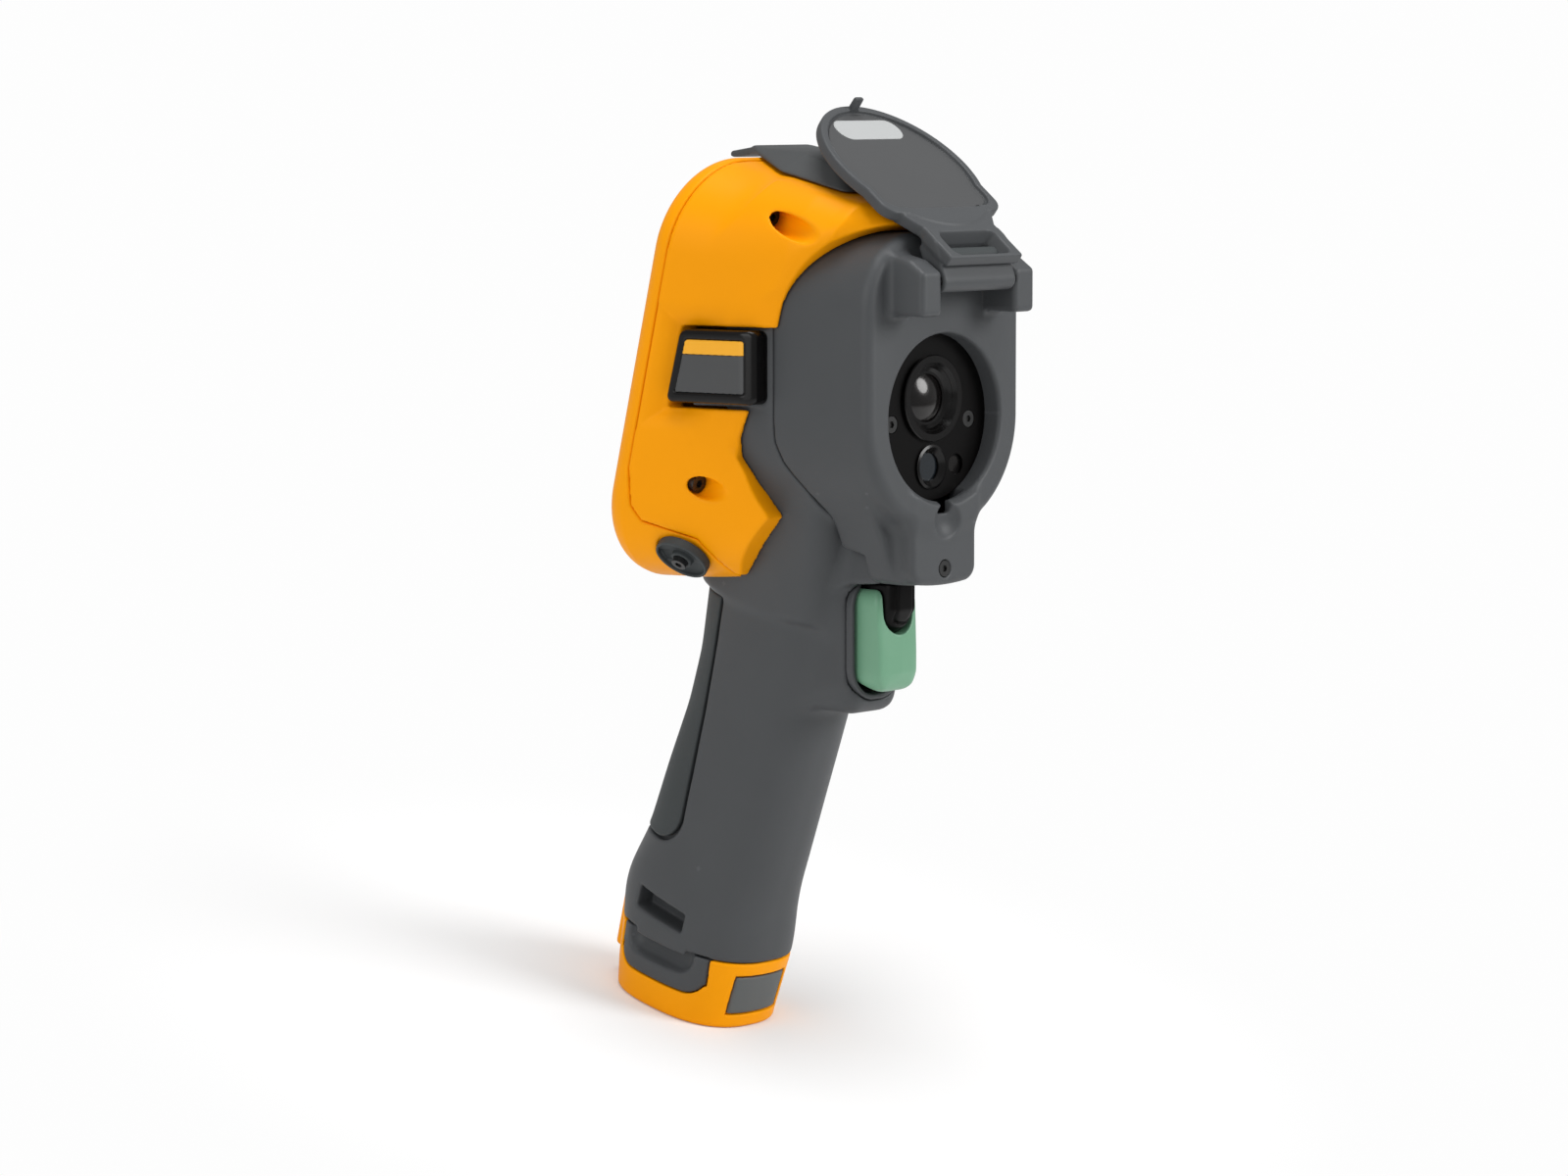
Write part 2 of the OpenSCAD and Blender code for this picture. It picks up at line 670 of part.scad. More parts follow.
module top_door() color(charcoal) {
    hull() {
        for (sx = [-1, 1]) {
            translate([sx * 11, 31, head_top + gap]) cylinder(r = 2, h = 1.6, $fn = 24);
            translate([sx * 22, 8, head_top + gap]) cylinder(r = 3, h = 0.6, $fn = 24);
            translate([sx * 20, -13, head_top + gap]) cylinder(r = 3, h = 0.6, $fn = 24);
            translate([sx * 13, 8, head_top + gap]) cylinder(r = 3, h = 6, $fn = 24);
            translate([sx * 14, -4, head_top + gap]) cylinder(r = 3, h = 5.5, $fn = 24);
        }
    }
    hull() {
        block([-12, 30, head_top + 0.5], [12, 32, head_top + 2.2]);
        block([-11, 41, head_top - 3.6], [11, 42.5, head_top - 2]);
    }
    block([-14.5 + gap, -3.5 + gap, head_top - 2.5], [14.5 - gap, 19.5 - gap,
          head_top + gap + 0.3]);
}

module port_block() color(black) difference() {
    block([-15 + fit, -4 + fit, head_top - 10], [15 - fit, 20 - fit, head_top - 3.2]);
    block([-4.5, 3, head_top - 7], [4.5, 6.2, head_top]);
    block([-12, 10, head_top - 7], [12, 12.4, head_top]);
}

// ---- badges on both sides ----

// Height band of the badge, cut parallel to the display at its rear end
module badge_band(y0, y1, z0, z1) intersection() {
    in_head() translate([0, 0, z0]) linear_extrude(z1 - z0) children();
    in_head() block([-90, y0, z0], [90, 60, z1]);
    block([-90, -90, 0], [90, y1, 400]);
}

// Outer face of the badge, from its front edge back, at a depth below it
module badge_face(depth, thick)
    polygon([[44.6 - depth - thick, -5.6], [44.6 - depth, -5.6],
             [49.2 - depth, 30], [49.2 - depth - thick, 30]]);

module badge_frames() color(black) both_sides() difference() {
    badge_band(badge_front, badge_back, 4.3, 25.7)
        union() {
            polygon([[38, badge_front], [43.2, badge_front], [44.6, -5.6], [49.2, 30],
                     [46.5, 30]]);
        }
    badge_band(badge_front + 4.2, badge_back - 2.6, 6.9, 23.1) badge_face(-1, 1.6);
}

module badge_labels() color("#3c3e40") both_sides()
    badge_band(badge_front + 4.4, badge_back - 2.8, 7.1, 22.9) badge_face(0.2, 0.4);

module strap_anchors() color(black) at_anchor() difference() {
    translate([0, 0, -3.2 + fit]) cylinder(r = 8.5, h = 3.4, $fn = 64);
    difference() {
        translate([0, 0, -1.6]) cylinder(r = 7, h = 5, $fn = 64);
        translate([0, 0, -4]) cylinder(r = 3.2, h = 4.5, $fn = 48);
    }
    translate([0, 0, -8]) cylinder(r = 1.4, h = 16, $fn = 32);
    translate([0, 0, -0.9]) cylinder(r = 2.4, h = 5, $fn = 32);
}

module anchor_screws() color(steel) at_anchor() {
    translate([0, 0, -8.5]) cylinder(r = 1.35, h = 8.5, $fn = 32);
    difference() {
        translate([0, 0, -0.9]) cylinder(r = 2.3, h = 1.6, $fn = 32);
        translate([0, 0, -0.2]) cylinder(r = 1.2, h = 3, $fn = 6);
    }
}

// ---- handle ----

module pad_region(grow = 0) intersection() {
    union() {
        block([-40, 5 - grow, 66], [40, 60, grip_h - 1.5]);
        block([-40, 14 - grow, 52 - grow], [40, 60, 66.1]);
        rod_x(9.5 + grow, -40, 40, 14.5, 61.5);
    }
    block([-40, 5 - grow, 52 - grow], [40, 60, grip_h - 1]);
}

// Outline of a battery latch, looked at from the side
module latch_outline(grow = 0) {
    translate([3.5, 18]) square([36 + 2 * grow, 9 + 2 * grow], center = true);
    translate([3.5, 15.5]) square([22, 12 + 2 * grow], center = true);
    for (y = [-7.5, 14.5]) translate([y, 16.5]) circle(7 + grow, $fn = 64);
}

module latch_region(grow = 0)
    both_sides() intersection() {
        translate([15.5 - grow, 0, 0]) rotate([90, 0, 90])
            linear_extrude(30) latch_outline(grow);
        block([0, -60, 0], [60, 60, base_h]);
    }

module strap_slot() both_sides() hull() {
    block([15.5, -4, 27.5], [40, -3, 33.5]);
    block([15.5, 15.5, 29], [40, 16.5, 36]);
}

module tongue_region(grow = 0)
    block([-9 - grow, 24 - grow, 8], [9 + grow, 60, tongue_top + grow]);

// Clip on the back of the battery base
module tongue()
    hull() {
        block([-9, 24, 8], [9, 25, tongue_top]);
        for (sx = [-1, 1])
            translate([sx * 6, 31.2, 8.8]) cylinder(r = 3, h = tongue_top - 9.5, $fn = 32);
    }

// Rounded slot in plan for the battery pack, between two heights
module pack_volume(z0, z1, grow = 0)
    translate([0, 0, z0]) linear_extrude(z1 - z0) {
        for (sy = [-1, 1]) translate([0, sy * cell_y]) circle(pack_w / 2 + grow, $fn = 96);
        square([pack_w + 2 * grow, 2 * cell_y], center = true);
    }

module handle_housing() color(grey) difference() {
    union() {
        difference() {
            handle_volume();
            block([-60, -60, -10], [60, 60, base_h]);
        }
        neck_volume();
        in_head() {
            difference() {
                intersection() {
                    barrel_volume();
                    across() difference() {
                        translate([-20, -60]) square([80, 140]);
                        parting_profile();
                    }
                }
                barrel_volume(-wall, cavity_y, sleeve_end + 3);
            }
            trigger_bulge();
            trigger_roof();
            both_sides() translate([0, 0, 3]) linear_extrude(23)
                polygon([[33, parting_y], [37.5, parting_y + 2], [43.2, 17.5],
                         [40.2, 17.5], [34, 6]]);
        }
    }
    in_head() {
        block([-trigger_w / 2 - 0.7, -60, trigger_low - 2],
              [trigger_w / 2 + 0.7, bay_back, 0.1 - chin_z]);
        block([-trigger_w / 2 - 0.7, pivot_y - 4.2, -chin_z - 1],
              [trigger_w / 2 + 0.7, pivot_y + 5.6, pivot_z + 3.2]);
        across() intersection() {
            parting_profile();
            translate([-60, -chin_z - 1]) square([60, 50 + chin_z]);
        }
        rod_y(barrel_half - wall, -30, 40);
        block([-11, chin_back + 6, pivot_z + 5.2], [11, 8, -20]);
        rod_x(trigger_pin_r, -12.2, 12.2, pivot_y, pivot_z);
        bezel_ring(fit);
        block([-2.2, bay_back - 1, trigger_low + 3], [2.2, bay_back + 12, trigger_low + 6]);
    }
    in_grip() {
        pack_volume(-5, pack_top + 1, gap);
        block([-9.5, -13.5, pack_top], [9.5, 13.5, pack_top + 7]);
        block([-9, 2, pack_top + 6], [9, 16, grip_h + 30]);
    }
    intersection() {
        difference() {
            handle_volume(5);
            handle_volume(-2.2);
        }
        pad_region();
    }
    strap_slot();
    latch_region(gap);
    tongue_region(gap);
}

module grip_pad() color(charcoal) intersection() {
    difference() {
        handle_volume(0.25);
        handle_volume(-2.1);
    }
    pad_region(-0.35);
}

// ---- trigger group, drawn in the lens frame ----

module trigger_bulge()
    hull()
        for (sx = [-1, 1]) {
            translate([sx * 6.8, -12, trigger_low + 2])
                cylinder(r = 6, h = trigger_h, $fn = 32);
            translate([sx * 6, -15, trigger_low - 1.8]) sphere(r = 5.5, $fn = 24);
            translate([sx * 5, 12, trigger_low - 5])
                cylinder(r = 8.5, h = trigger_h + 5, $fn = 32);
        }

// Solid above the trigger, up to the parting line behind the chin
module trigger_roof()
    hull() {
        block([-12.6, chin_back + gap, -chin_z], [12.6, chin_back + 3, 9 - chin_z]);
        block([-14, -14, -chin_z - 1], [14, -6, 12 - chin_z]);
    }

module bezel_ring(grow = 0)
    translate([0, -15.5 + grow, 0]) rotate([90, 0, 0]) linear_extrude(1.8 + grow)
        difference() {
            translate([0, trigger_top - 0.4 - bezel_h / 2])
                rounded(trigger_w + 5 + 2 * grow, bezel_h, 7);
            translate([0, trigger_top - 0.2])
                rounded(trigger_w + 1.4 - 2 * grow, 2 * trigger_h - 0.4, 5.5);
        }

module trigger_bezel() color(charcoal) in_head() bezel_ring();

module primary_trigger() color("#6fa487") in_head() difference() {
    union() {
        hull()
            for (sx = [-1, 1]) {
                translate([sx * (trigger_w / 2 - 4), -24, trigger_low + 6])
                    cylinder(r = 4, h = trigger_h - 12, $fn = 32);
                translate([sx * (trigger_w / 2 - 4), -22.5, trigger_low + 4])
                    sphere(r = 4, $fn = 24);
                translate([sx * (trigger_w / 2 - 3), -20, trigger_top - 2])
                    cylinder(r = 3, h = 2, $fn = 24);
                translate([sx * (trigger_w / 2 - 2) - 2, trigger_back - 1, trigger_low + 6])
                    cube([4, 1, trigger_h - 6.8]);
            }
        both_sides() block([second_r + 0.4, pivot_y - 3, trigger_top - 3],
                           [trigger_w / 2, pivot_y + 3, pivot_z + 2.6]);
    }
    block([-second_r - 0.3, -40, second_z], [second_r + 0.3, 0, pivot_z + 10]);
    rod_y(second_r + 0.3, -40, 0, 0, second_z);
    rod_x(trigger_pin_r + play, -20, 20, pivot_y, pivot_z);
}

module secondary_trigger() color("#1c1817") in_head() {
    hull() {
        for (sx = [-1, 1])
            translate([sx * (second_r - 3.5), -26, second_z + 1])
                cylinder(r = 3.5, h = trigger_top - second_z - 1, $fn = 32);
        rod_y(second_r - 2, -27.5, -27, 0, second_z, 32);
        rod_y(second_r, -25, -18, 0, second_z, 32);
        block([-second_r, -19, second_z], [second_r, -18, trigger_top]);
    }
    block([-2, -18.1, second_z + 2], [2, trigger_back, second_z + 6]);
}

module trigger_pin() color(steel) in_head()
    rod_x(trigger_pin_r, -12, 12, pivot_y, pivot_z);

module spring_y(r, y0, y1, z) difference() {
    rod_y(r, y0, y1, 0, z, 32);
    rod_y(r - 0.6, y0 - 1, y1 + 1, 0, z, 32);
}

module primary_spring() color(steel) in_head()
    spring_y(2.4, trigger_back, bay_back, trigger_low + 14);

module secondary_spring() color(steel) in_head()
    spring_y(1.8, trigger_back, bay_back, second_z + 4);

module trigger_switches() color(black) in_head() {
    block([-4, bay_back - 4.4, trigger_low + 2.5], [4, bay_back, trigger_low + 8.5]);
    block([-3, bay_back - 5.4, second_z - 4], [3, bay_back, second_z + 0.5]);
}

// ---- battery, which slides down out of the handle ----

module battery_base() color(yellow) difference() {
    union() {
        intersection() {
            handle_volume();
            block([-60, -60, -1], [60, 60, base_h - gap]);
        }
        tongue();
        in_grip() pack_volume(6, base_h + 3);
    }
    in_grip() pack_volume(base_h, base_h + 10, -1.5);
    latch_region(gap);
    both_sides() block([15 - 0.2, 0, 11], [17, 6, 17]);
    insert_region();
}

module insert_region(grow = 0)
    intersection() {
        block([grow - 11, -60, 4.5 + grow], [11 - grow, -10, 18 - grow]);
        difference() {
            handle_volume(5);
            handle_volume(-1.5);
        }
    }

module base_insert() color(grey) intersection() {
    insert_region(0.15);
    handle_volume(-0.1);
}

module battery_pack() color(charcoal) in_grip() difference() {
    pack_volume(base_h + 3.1, pack_top);
    for (sy = [-1, 1])
        translate([0, sy * cell_y, base_h + 3])
            cylinder(r = cell_r + fit, h = 66, $fn = 64);
    block([-6, -14, pack_top - 1], [6, 14, pack_top + 1]);
}

module battery_cells() color("#3a6ea5") in_grip()
    for (sy = [-1, 1])
        translate([0, sy * cell_y, base_h + 3.3]) cylinder(r = cell_r, h = 65, $fn = 64);

module latch() difference() {
    intersection() {
        handle_volume(-0.1);
        translate([18.6, 0, 0]) rotate([90, 0, 90]) linear_extrude(30) latch_outline();
        block([0, -60, 0], [60, 60, base_h - gap]);
    }
    translate([24.5, -4, 21]) sphere(r = 5, $fn = 48);
    translate([24.5, 11, 21]) sphere(r = 5, $fn = 48);
    rod_y(5, -4, 11, 24.5, 21);
}

module latch_left() color(grey) latch();

module latch_right() color(grey) mirror([1, 0, 0]) latch();

module latch_spring() rod_x(2, 15, 18.6, 3, 14, 24);

module latch_spring_left() color(steel) latch_spring();

module latch_spring_right() color(steel) mirror([1, 0, 0]) latch_spring();

module contact_block() color(black) in_grip() {
    block([-9, -13, pack_top + 1.1], [9, 13, pack_top + 5]);
    for (y = [-9:6:9])
        block([-1.5, y - 1, pack_top - 0.9], [1.5, y + 1, pack_top + 1.2]);
}

rear_frame();
front_shell();
rear_panel();
lcd_window();
window_gasket();
lcd_module();
key_left();
key_middle();
key_right();
power_button();
key_board();
main_board();
speaker();
head_screws();
barrel_housing();
lens_plate();
ir_lens_ring();
ir_lens();
ir_engine();
camera_ring();
camera_window();
camera_module();
laser_window();
laser_module();
lens_screws();
chin_screw();
lens_cover();
cover_label();
hinge_pin();
top_door();
port_block();
badge_frames();
badge_labels();
strap_anchors();
anchor_screws();
handle_housing();
grip_pad();
trigger_bezel();
primary_trigger();
secondary_trigger();
trigger_pin();
primary_spring();
secondary_spring();
trigger_switches();
battery_base();
battery_pack();
battery_cells();
base_insert();
latch_left();
latch_right();
latch_spring_left();
latch_spring_right();
contact_block();
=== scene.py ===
"""Looks of a pistol-grip thermal imaging camera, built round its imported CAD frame."""
import json
import math

import bmesh
import bpy
import numpy as np
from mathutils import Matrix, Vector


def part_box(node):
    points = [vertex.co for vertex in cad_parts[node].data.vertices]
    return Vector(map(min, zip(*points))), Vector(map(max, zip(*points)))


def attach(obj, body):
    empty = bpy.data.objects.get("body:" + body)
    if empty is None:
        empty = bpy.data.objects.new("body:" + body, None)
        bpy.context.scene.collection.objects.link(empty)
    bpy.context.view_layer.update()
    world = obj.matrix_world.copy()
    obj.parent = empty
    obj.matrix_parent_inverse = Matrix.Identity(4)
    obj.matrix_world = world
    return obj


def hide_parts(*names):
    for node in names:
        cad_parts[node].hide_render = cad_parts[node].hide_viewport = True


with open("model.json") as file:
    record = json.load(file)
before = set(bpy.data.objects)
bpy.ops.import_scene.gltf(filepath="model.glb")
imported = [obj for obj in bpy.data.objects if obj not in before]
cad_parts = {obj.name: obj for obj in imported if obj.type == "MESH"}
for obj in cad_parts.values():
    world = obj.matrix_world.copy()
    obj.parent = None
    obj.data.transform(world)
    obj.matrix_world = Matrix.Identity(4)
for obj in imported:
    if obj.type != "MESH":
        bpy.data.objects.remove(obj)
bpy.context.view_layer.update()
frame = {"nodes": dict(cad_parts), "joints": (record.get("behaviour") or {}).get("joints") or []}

import openvdb
from mathutils import Matrix, Vector

nodes = frame["nodes"]
MM = 0.001
COARSE = 1.0


def srgb(r, g, b):
    """Linear colour of an 8-bit screen colour."""
    parts = [c / 255 for c in (r, g, b)]
    return [c / 12.92 if c <= 0.04045 else ((c + 0.055) / 1.055) ** 2.4 for c in parts]


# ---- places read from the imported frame, in millimetres ----

def edges(node):
    """Lowest and highest corner of a CAD node in millimetres."""
    low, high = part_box(node)
    return low / MM, high / MM


joints = {j["name"]: j for j in frame["joints"]}
lens_axis = joints["secondary_push"]["axis"]
TILT = math.atan2(-lens_axis[2], lens_axis[1])
COS, SIN = math.cos(TILT), math.sin(TILT)
HINGE_Y, HINGE_Z = -55.5, 41.0
hinge = [c / MM for c in joints["cover_hinge"]["pos_m"]]
LENS_Y = hinge[1] - HINGE_Y * COS - HINGE_Z * SIN
LENS_Z = hinge[2] + HINGE_Y * SIN - HINGE_Z * COS
slide = joints["battery_slide"]["axis"]
LEAN = math.atan2(slide[1], -slide[2])
rear_high = edges("rear_frame")[1]
HALF_W, BACK_Y, HEAD_TOP = rear_high
HEAD_H = 131.0
HEAD_MID = HEAD_TOP - HEAD_H / 2
GRIP_H = HEAD_TOP - HEAD_H
SEAM_Y = BACK_Y - 8.5
WALL = 2.5
THICK = 7.0
BARREL_R = 34.5
FLARE = 4.0
FRONT_Y = -45.0
SLEEVE_END = 8.0
PARTING_Y = -9.6
CHIN_Z = 50.0
CHIN_W = 29.0
CHIN_BACK = -28.2
TRIGGER_TOP = -50.4
TRIGGER_LOW = -83.6
POCKET_Z = (TRIGGER_LOW - 1 - 49.9) / 2
POCKET_H = POCKET_Z - TRIGGER_LOW + 1
COVER_ANGLE = math.radians(232)
BASE_H = 22.5
GAP = 0.3
SEAM = 0.12
BARREL_TOP = 55.0
SHOULDER = 22.0
PANEL_OPENING = (84, 114, 18.5, 30.0)   # width, height, corner radius, floor
PANEL_LEDGE = (78, 108, 15.5, 20.0)
SCREWS = ((HALF_W - 16.5, 2.5, HEAD_TOP - 11), (HALF_W - 10.5, 7, HEAD_MID - 29))
SCALLOP_R = 3.3
SCALLOP_TURN = math.radians(12)
SEAT_R = 3.05
LASER = (11.5, -14.8)
POCKET_W = 9.9          # half the trigger pocket's width
TRIGGER_PIVOT = (-16, -47.5)
SECOND_Z = -59.6        # middle of the secondary trigger's round end
SECOND_R = 6.5
SLOT_FLOOR = 13.6       # half the width left between the strap slots
LOBE_X = 20.4           # the lobes over the latches stand outside this
LATCH_WALL = 15.2       # half the width left between the two latches
LATCH_WELL = 13.8       # the same behind the scoops
ANCHOR_R = 8.5

head_frame = Matrix.Translation((0, LENS_Y, LENS_Z)) @ Matrix.Rotation(-TILT, 4, "X")
grip_frame = Matrix.Translation((0, 3, 0)) @ Matrix.Rotation(LEAN, 4, "X")
cover_frame = (head_frame @ Matrix.Translation((0, HINGE_Y, HINGE_Z))
               @ Matrix.Rotation(-COVER_ANGLE, 4, "X"))
anchor_frame = (Matrix.Translation((-40, 7, GRIP_H + 10.8))
                @ Matrix.Rotation(math.radians(-137), 4, "Y")
                @ Matrix.Rotation(math.radians(12), 4, "X"))


# ---- distance fields on a regular grid ----

class Grid:
    """Sample points of a box, given in the millimetres of the frame `place`.

    x, y and z are the box's own axes. py, pz are the row frame's, hy, hz the lens
    frame's and gy, gz the grip frame's: all of these turn about X alone.
    """

    def __init__(self, low, high, step, place=None):
        self.step = step
        self.low = np.array(low, np.float64)
        self.high = np.array(high, np.float64)
        self.place = place or Matrix.Identity(4)
        counts = [int(math.ceil((b - a) / step)) + 1 for a, b in zip(low, high)]
        axes = [(np.arange(n) * step + a).astype(np.float32)
                for n, a in zip(counts, low)]
        self.axes = axes
        self.shape = tuple(counts)
        self.x = axes[0][:, None, None]
        self.y = axes[1][None, :, None]
        self.z = axes[2][None, None, :]
        self.py, self.pz = self.turned(self.place)
        self.hy, self.hz = self.turned(head_frame.inverted() @ self.place)
        self.gy, self.gz = self.turned(grip_frame.inverted() @ self.place)

    def turned(self, m):
        y = m[1][1] * self.y + m[1][2] * self.z + m[1][3]
        z = m[2][1] * self.y + m[2][2] * self.z + m[2][3]
        return y.astype(np.float32), z.astype(np.float32)


def smooth_min(a, b, k):
    h = np.maximum(k - np.abs(a - b), 0) / k
    return np.minimum(a, b) - h * h * (k / 4)


def smooth_max(a, b, k):
    return -smooth_min(-a, -b, k)


def cut(a, b, k=0.6):
    """a without b, with the edge rounded over about k."""
    return smooth_max(a, -b, k)


def round_max(a, b, r):
    """Where a and b meet, a true radius r."""
    corner = np.hypot(np.maximum(a + r, 0), np.maximum(b + r, 0))
    return np.minimum(np.maximum(a, b), -r) + corner


def round_rect(u, v, half_u, half_v, r):
    a = np.abs(u) - (half_u - r)
    b = np.abs(v) - (half_v - r)
    return np.hypot(np.maximum(a, 0), np.maximum(b, 0)) + np.minimum(np.maximum(a, b), 0) - r


def span(v, low, high):
    return np.abs(v - (low + high) / 2) - (high - low) / 2


def block(x, y, z, low, high, r=0.0):
    q = [span(v, a + r, b - r) for v, a, b in zip((x, y, z), low, high)]
    far = np.sqrt(sum(np.maximum(v, 0) ** 2 for v in q))
    return far + np.minimum(np.maximum(np.maximum(q[0], q[1]), q[2]), 0) - r


def rod(u, v, w, r, low, high):
    """Cylinder of radius r about u = v = 0, between two values of w."""
    return np.maximum(np.hypot(u, v) - r, span(w, low, high))


def outline(u, v, points):
    """Signed distance to a closed polygon in the plane of u and v."""
    best = np.full(np.broadcast(u, v).shape, 1e9, np.float32)
    sign = np.ones_like(best)
    for (ax, ay), (bx, by) in zip(points, points[-1:] + points[:-1]):
        ex, ey = bx - ax, by - ay
        wx, wy = u - ax, v - ay
        t = np.clip((wx * ex + wy * ey) / (ex * ex + ey * ey), 0, 1)
        best = np.minimum(best, (wx - ex * t) ** 2 + (wy - ey * t) ** 2)
        above, below, left = v >= ay, v < by, ex * wy > ey * wx
        flip = (above & below & left) | (~above & ~below & ~left)
        sign = np.where(flip, -sign, sign)
    return sign * np.sqrt(best)


def ring_points(r, centre, normal_axis, count=24):
    """Points of a circle whose axis is X, Y or Z."""
    points = []
    for i in range(count):
        a = 2 * math.pi * i / count
        offset = {"x": (0, r * math.cos(a), r * math.sin(a)),
                  "y": (r * math.cos(a), 0, r * math.sin(a)),
                  "z": (r * math.cos(a), r * math.sin(a), 0)}[normal_axis]
        points.append([c + o for c, o in zip(centre, offset)])
    return points


def block_points(low, high):
    return [[x, y, z] for x in (low[0], high[0]) for y in (low[1], high[1])
            for z in (low[2], high[2])]


def ball_points(r, centre):
    points = []
    for i in range(60):
        z = 1 - 2 * (i + 0.5) / 60
        a = i * 2.399963
        s = math.sqrt(1 - z * z)
        points.append([centre[0] + r * s * math.cos(a), centre[1] + r * s * math.sin(a),
                       centre[2] + r * z])
    return points


def spline_weights(axis, first, cell, count):
    """Cubic B-spline weights from coarse samples to the points of an axis."""
    u = (axis - first) / cell
    i = np.clip(np.floor(u).astype(int), 1, count - 3)
    t = u - i
    table = np.zeros((len(axis), count), np.float32)
    rows = np.arange(len(axis))
    for k, w in zip((-1, 0, 1, 2), ((1 - t) ** 3, 3 * t ** 3 - 6 * t ** 2 + 4,
                                    -3 * t ** 3 + 3 * t ** 2 + 3 * t + 1, t ** 3)):
        table[rows, i + k] += w / 6
    return table


def hull(g, points, cell):
    """Distance to the convex hull of points of the grid's own frame, softened over cell."""
    bm = bmesh.new()
    for p in points:
        bm.verts.new(p)
    bmesh.ops.convex_hull(bm, input=bm.verts)
    bm.normal_update()
    middle = Vector(np.mean(points, axis=0))
    planes = []
    for f in bm.faces:
        n = f.normal.copy()
        if f.calc_area() < 1e-4:
            continue
        if n.dot(f.calc_center_median() - middle) < 0:
            n.negate()
        planes.append((n, n.dot(f.calc_center_median())))
    bm.free()
    axes = [np.arange(a[0] - 3 * cell, a[-1] + 4 * cell, cell) for a in g.axes]
    field = np.full([len(a) for a in axes], -1e9, np.float32)
    for n, d in planes:
        np.maximum(field, n[0] * axes[0][:, None, None] + n[1] * axes[1][None, :, None]
                   + n[2] * axes[2][None, None, :] - d, out=field)
    wx, wy, wz = (spline_weights(a, c[0], cell, len(c)) for a, c in zip(g.axes, axes))
    field = np.tensordot(wx, field, (1, 0))
    field = np.matmul(wy, field)
    return np.matmul(field, wz.T)


def to_grid(g, points, source):
    """Points of another frame, in the frame of the grid."""
    m = g.place.inverted() @ source
    return [list(m @ Vector(p)) for p in points]


ROW = Matrix.Identity(4)


# ---- from a field to a piece ----

def mesh_of(name, g, field):
    """A closed mesh where the field crosses zero, with normals from its gradient."""
    field = np.ascontiguousarray(np.broadcast_to(field, g.shape), np.float32)
    field = np.clip(field, -4, 4)
    for axis in range(3):
        for end in (0, -1):
            edge = np.moveaxis(field, axis, 0)
            edge[end] = np.maximum(edge[end], 0.5)
    vdb = openvdb.FloatGrid(background=4.0)
    vdb.copyFromArray(field)
    points, quads = vdb.convertToQuads(isovalue=0.0)
    slopes = np.gradient(field)
    cell = np.clip(np.floor(points).astype(int), 0, np.array(g.shape) - 2)
    t = (points - cell).astype(np.float32)
    normal = np.zeros((len(points), 3), np.float32)
    for corner in range(8):
        o = [(corner >> k) & 1 for k in range(3)]
        w = np.prod([t[:, k] if o[k] else 1 - t[:, k] for k in range(3)], axis=0)
        at = tuple(cell[:, k] + o[k] for k in range(3))
        for k in range(3):
            normal[:, k] += w * slopes[k][at]
    normal /= np.maximum(np.linalg.norm(normal, axis=1), 1e-6)[:, None]
    place = np.array(g.place, np.float64)
    where = (points * g.step + g.low) @ place[:3, :3].T + place[:3, 3]
    normal = normal @ place[:3, :3].T
    corner = where[quads[:64]]
    facing = np.cross(corner[:, 1] - corner[:, 0], corner[:, 2] - corner[:, 0])
    if np.sum(facing * normal[quads[:64, 0]]) < 0:
        quads = quads[:, ::-1]
    mesh = bpy.data.meshes.new(name)
    mesh.vertices.add(len(where))
    mesh.vertices.foreach_set("co", (where * MM).astype(np.float32).ravel())
    mesh.loops.add(quads.size)
    mesh.loops.foreach_set("vertex_index", quads.astype(np.int32).ravel())
    mesh.polygons.add(len(quads))
    mesh.polygons.foreach_set("loop_start", np.arange(0, quads.size, 4, dtype=np.int32))
    mesh.polygons.foreach_set("use_smooth", np.ones(len(quads), bool))
    mesh.update(calc_edges=True)
    mesh.validate()
    if len(mesh.vertices) == len(normal):
        mesh.normals_split_custom_set_from_vertices(normal)
    return mesh


def skin(name, g, field, body, replaced, finish):
    """One piece from a field, standing for CAD nodes."""
    mesh = mesh_of(name, g, field)
    piece = bpy.data.objects.new(name, mesh)
    bpy.context.scene.collection.objects.link(piece)
    mesh.materials.append(finish)
    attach(piece, body)
    if replaced:
        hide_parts(*replaced)
    return piece


# ---- finishes ----

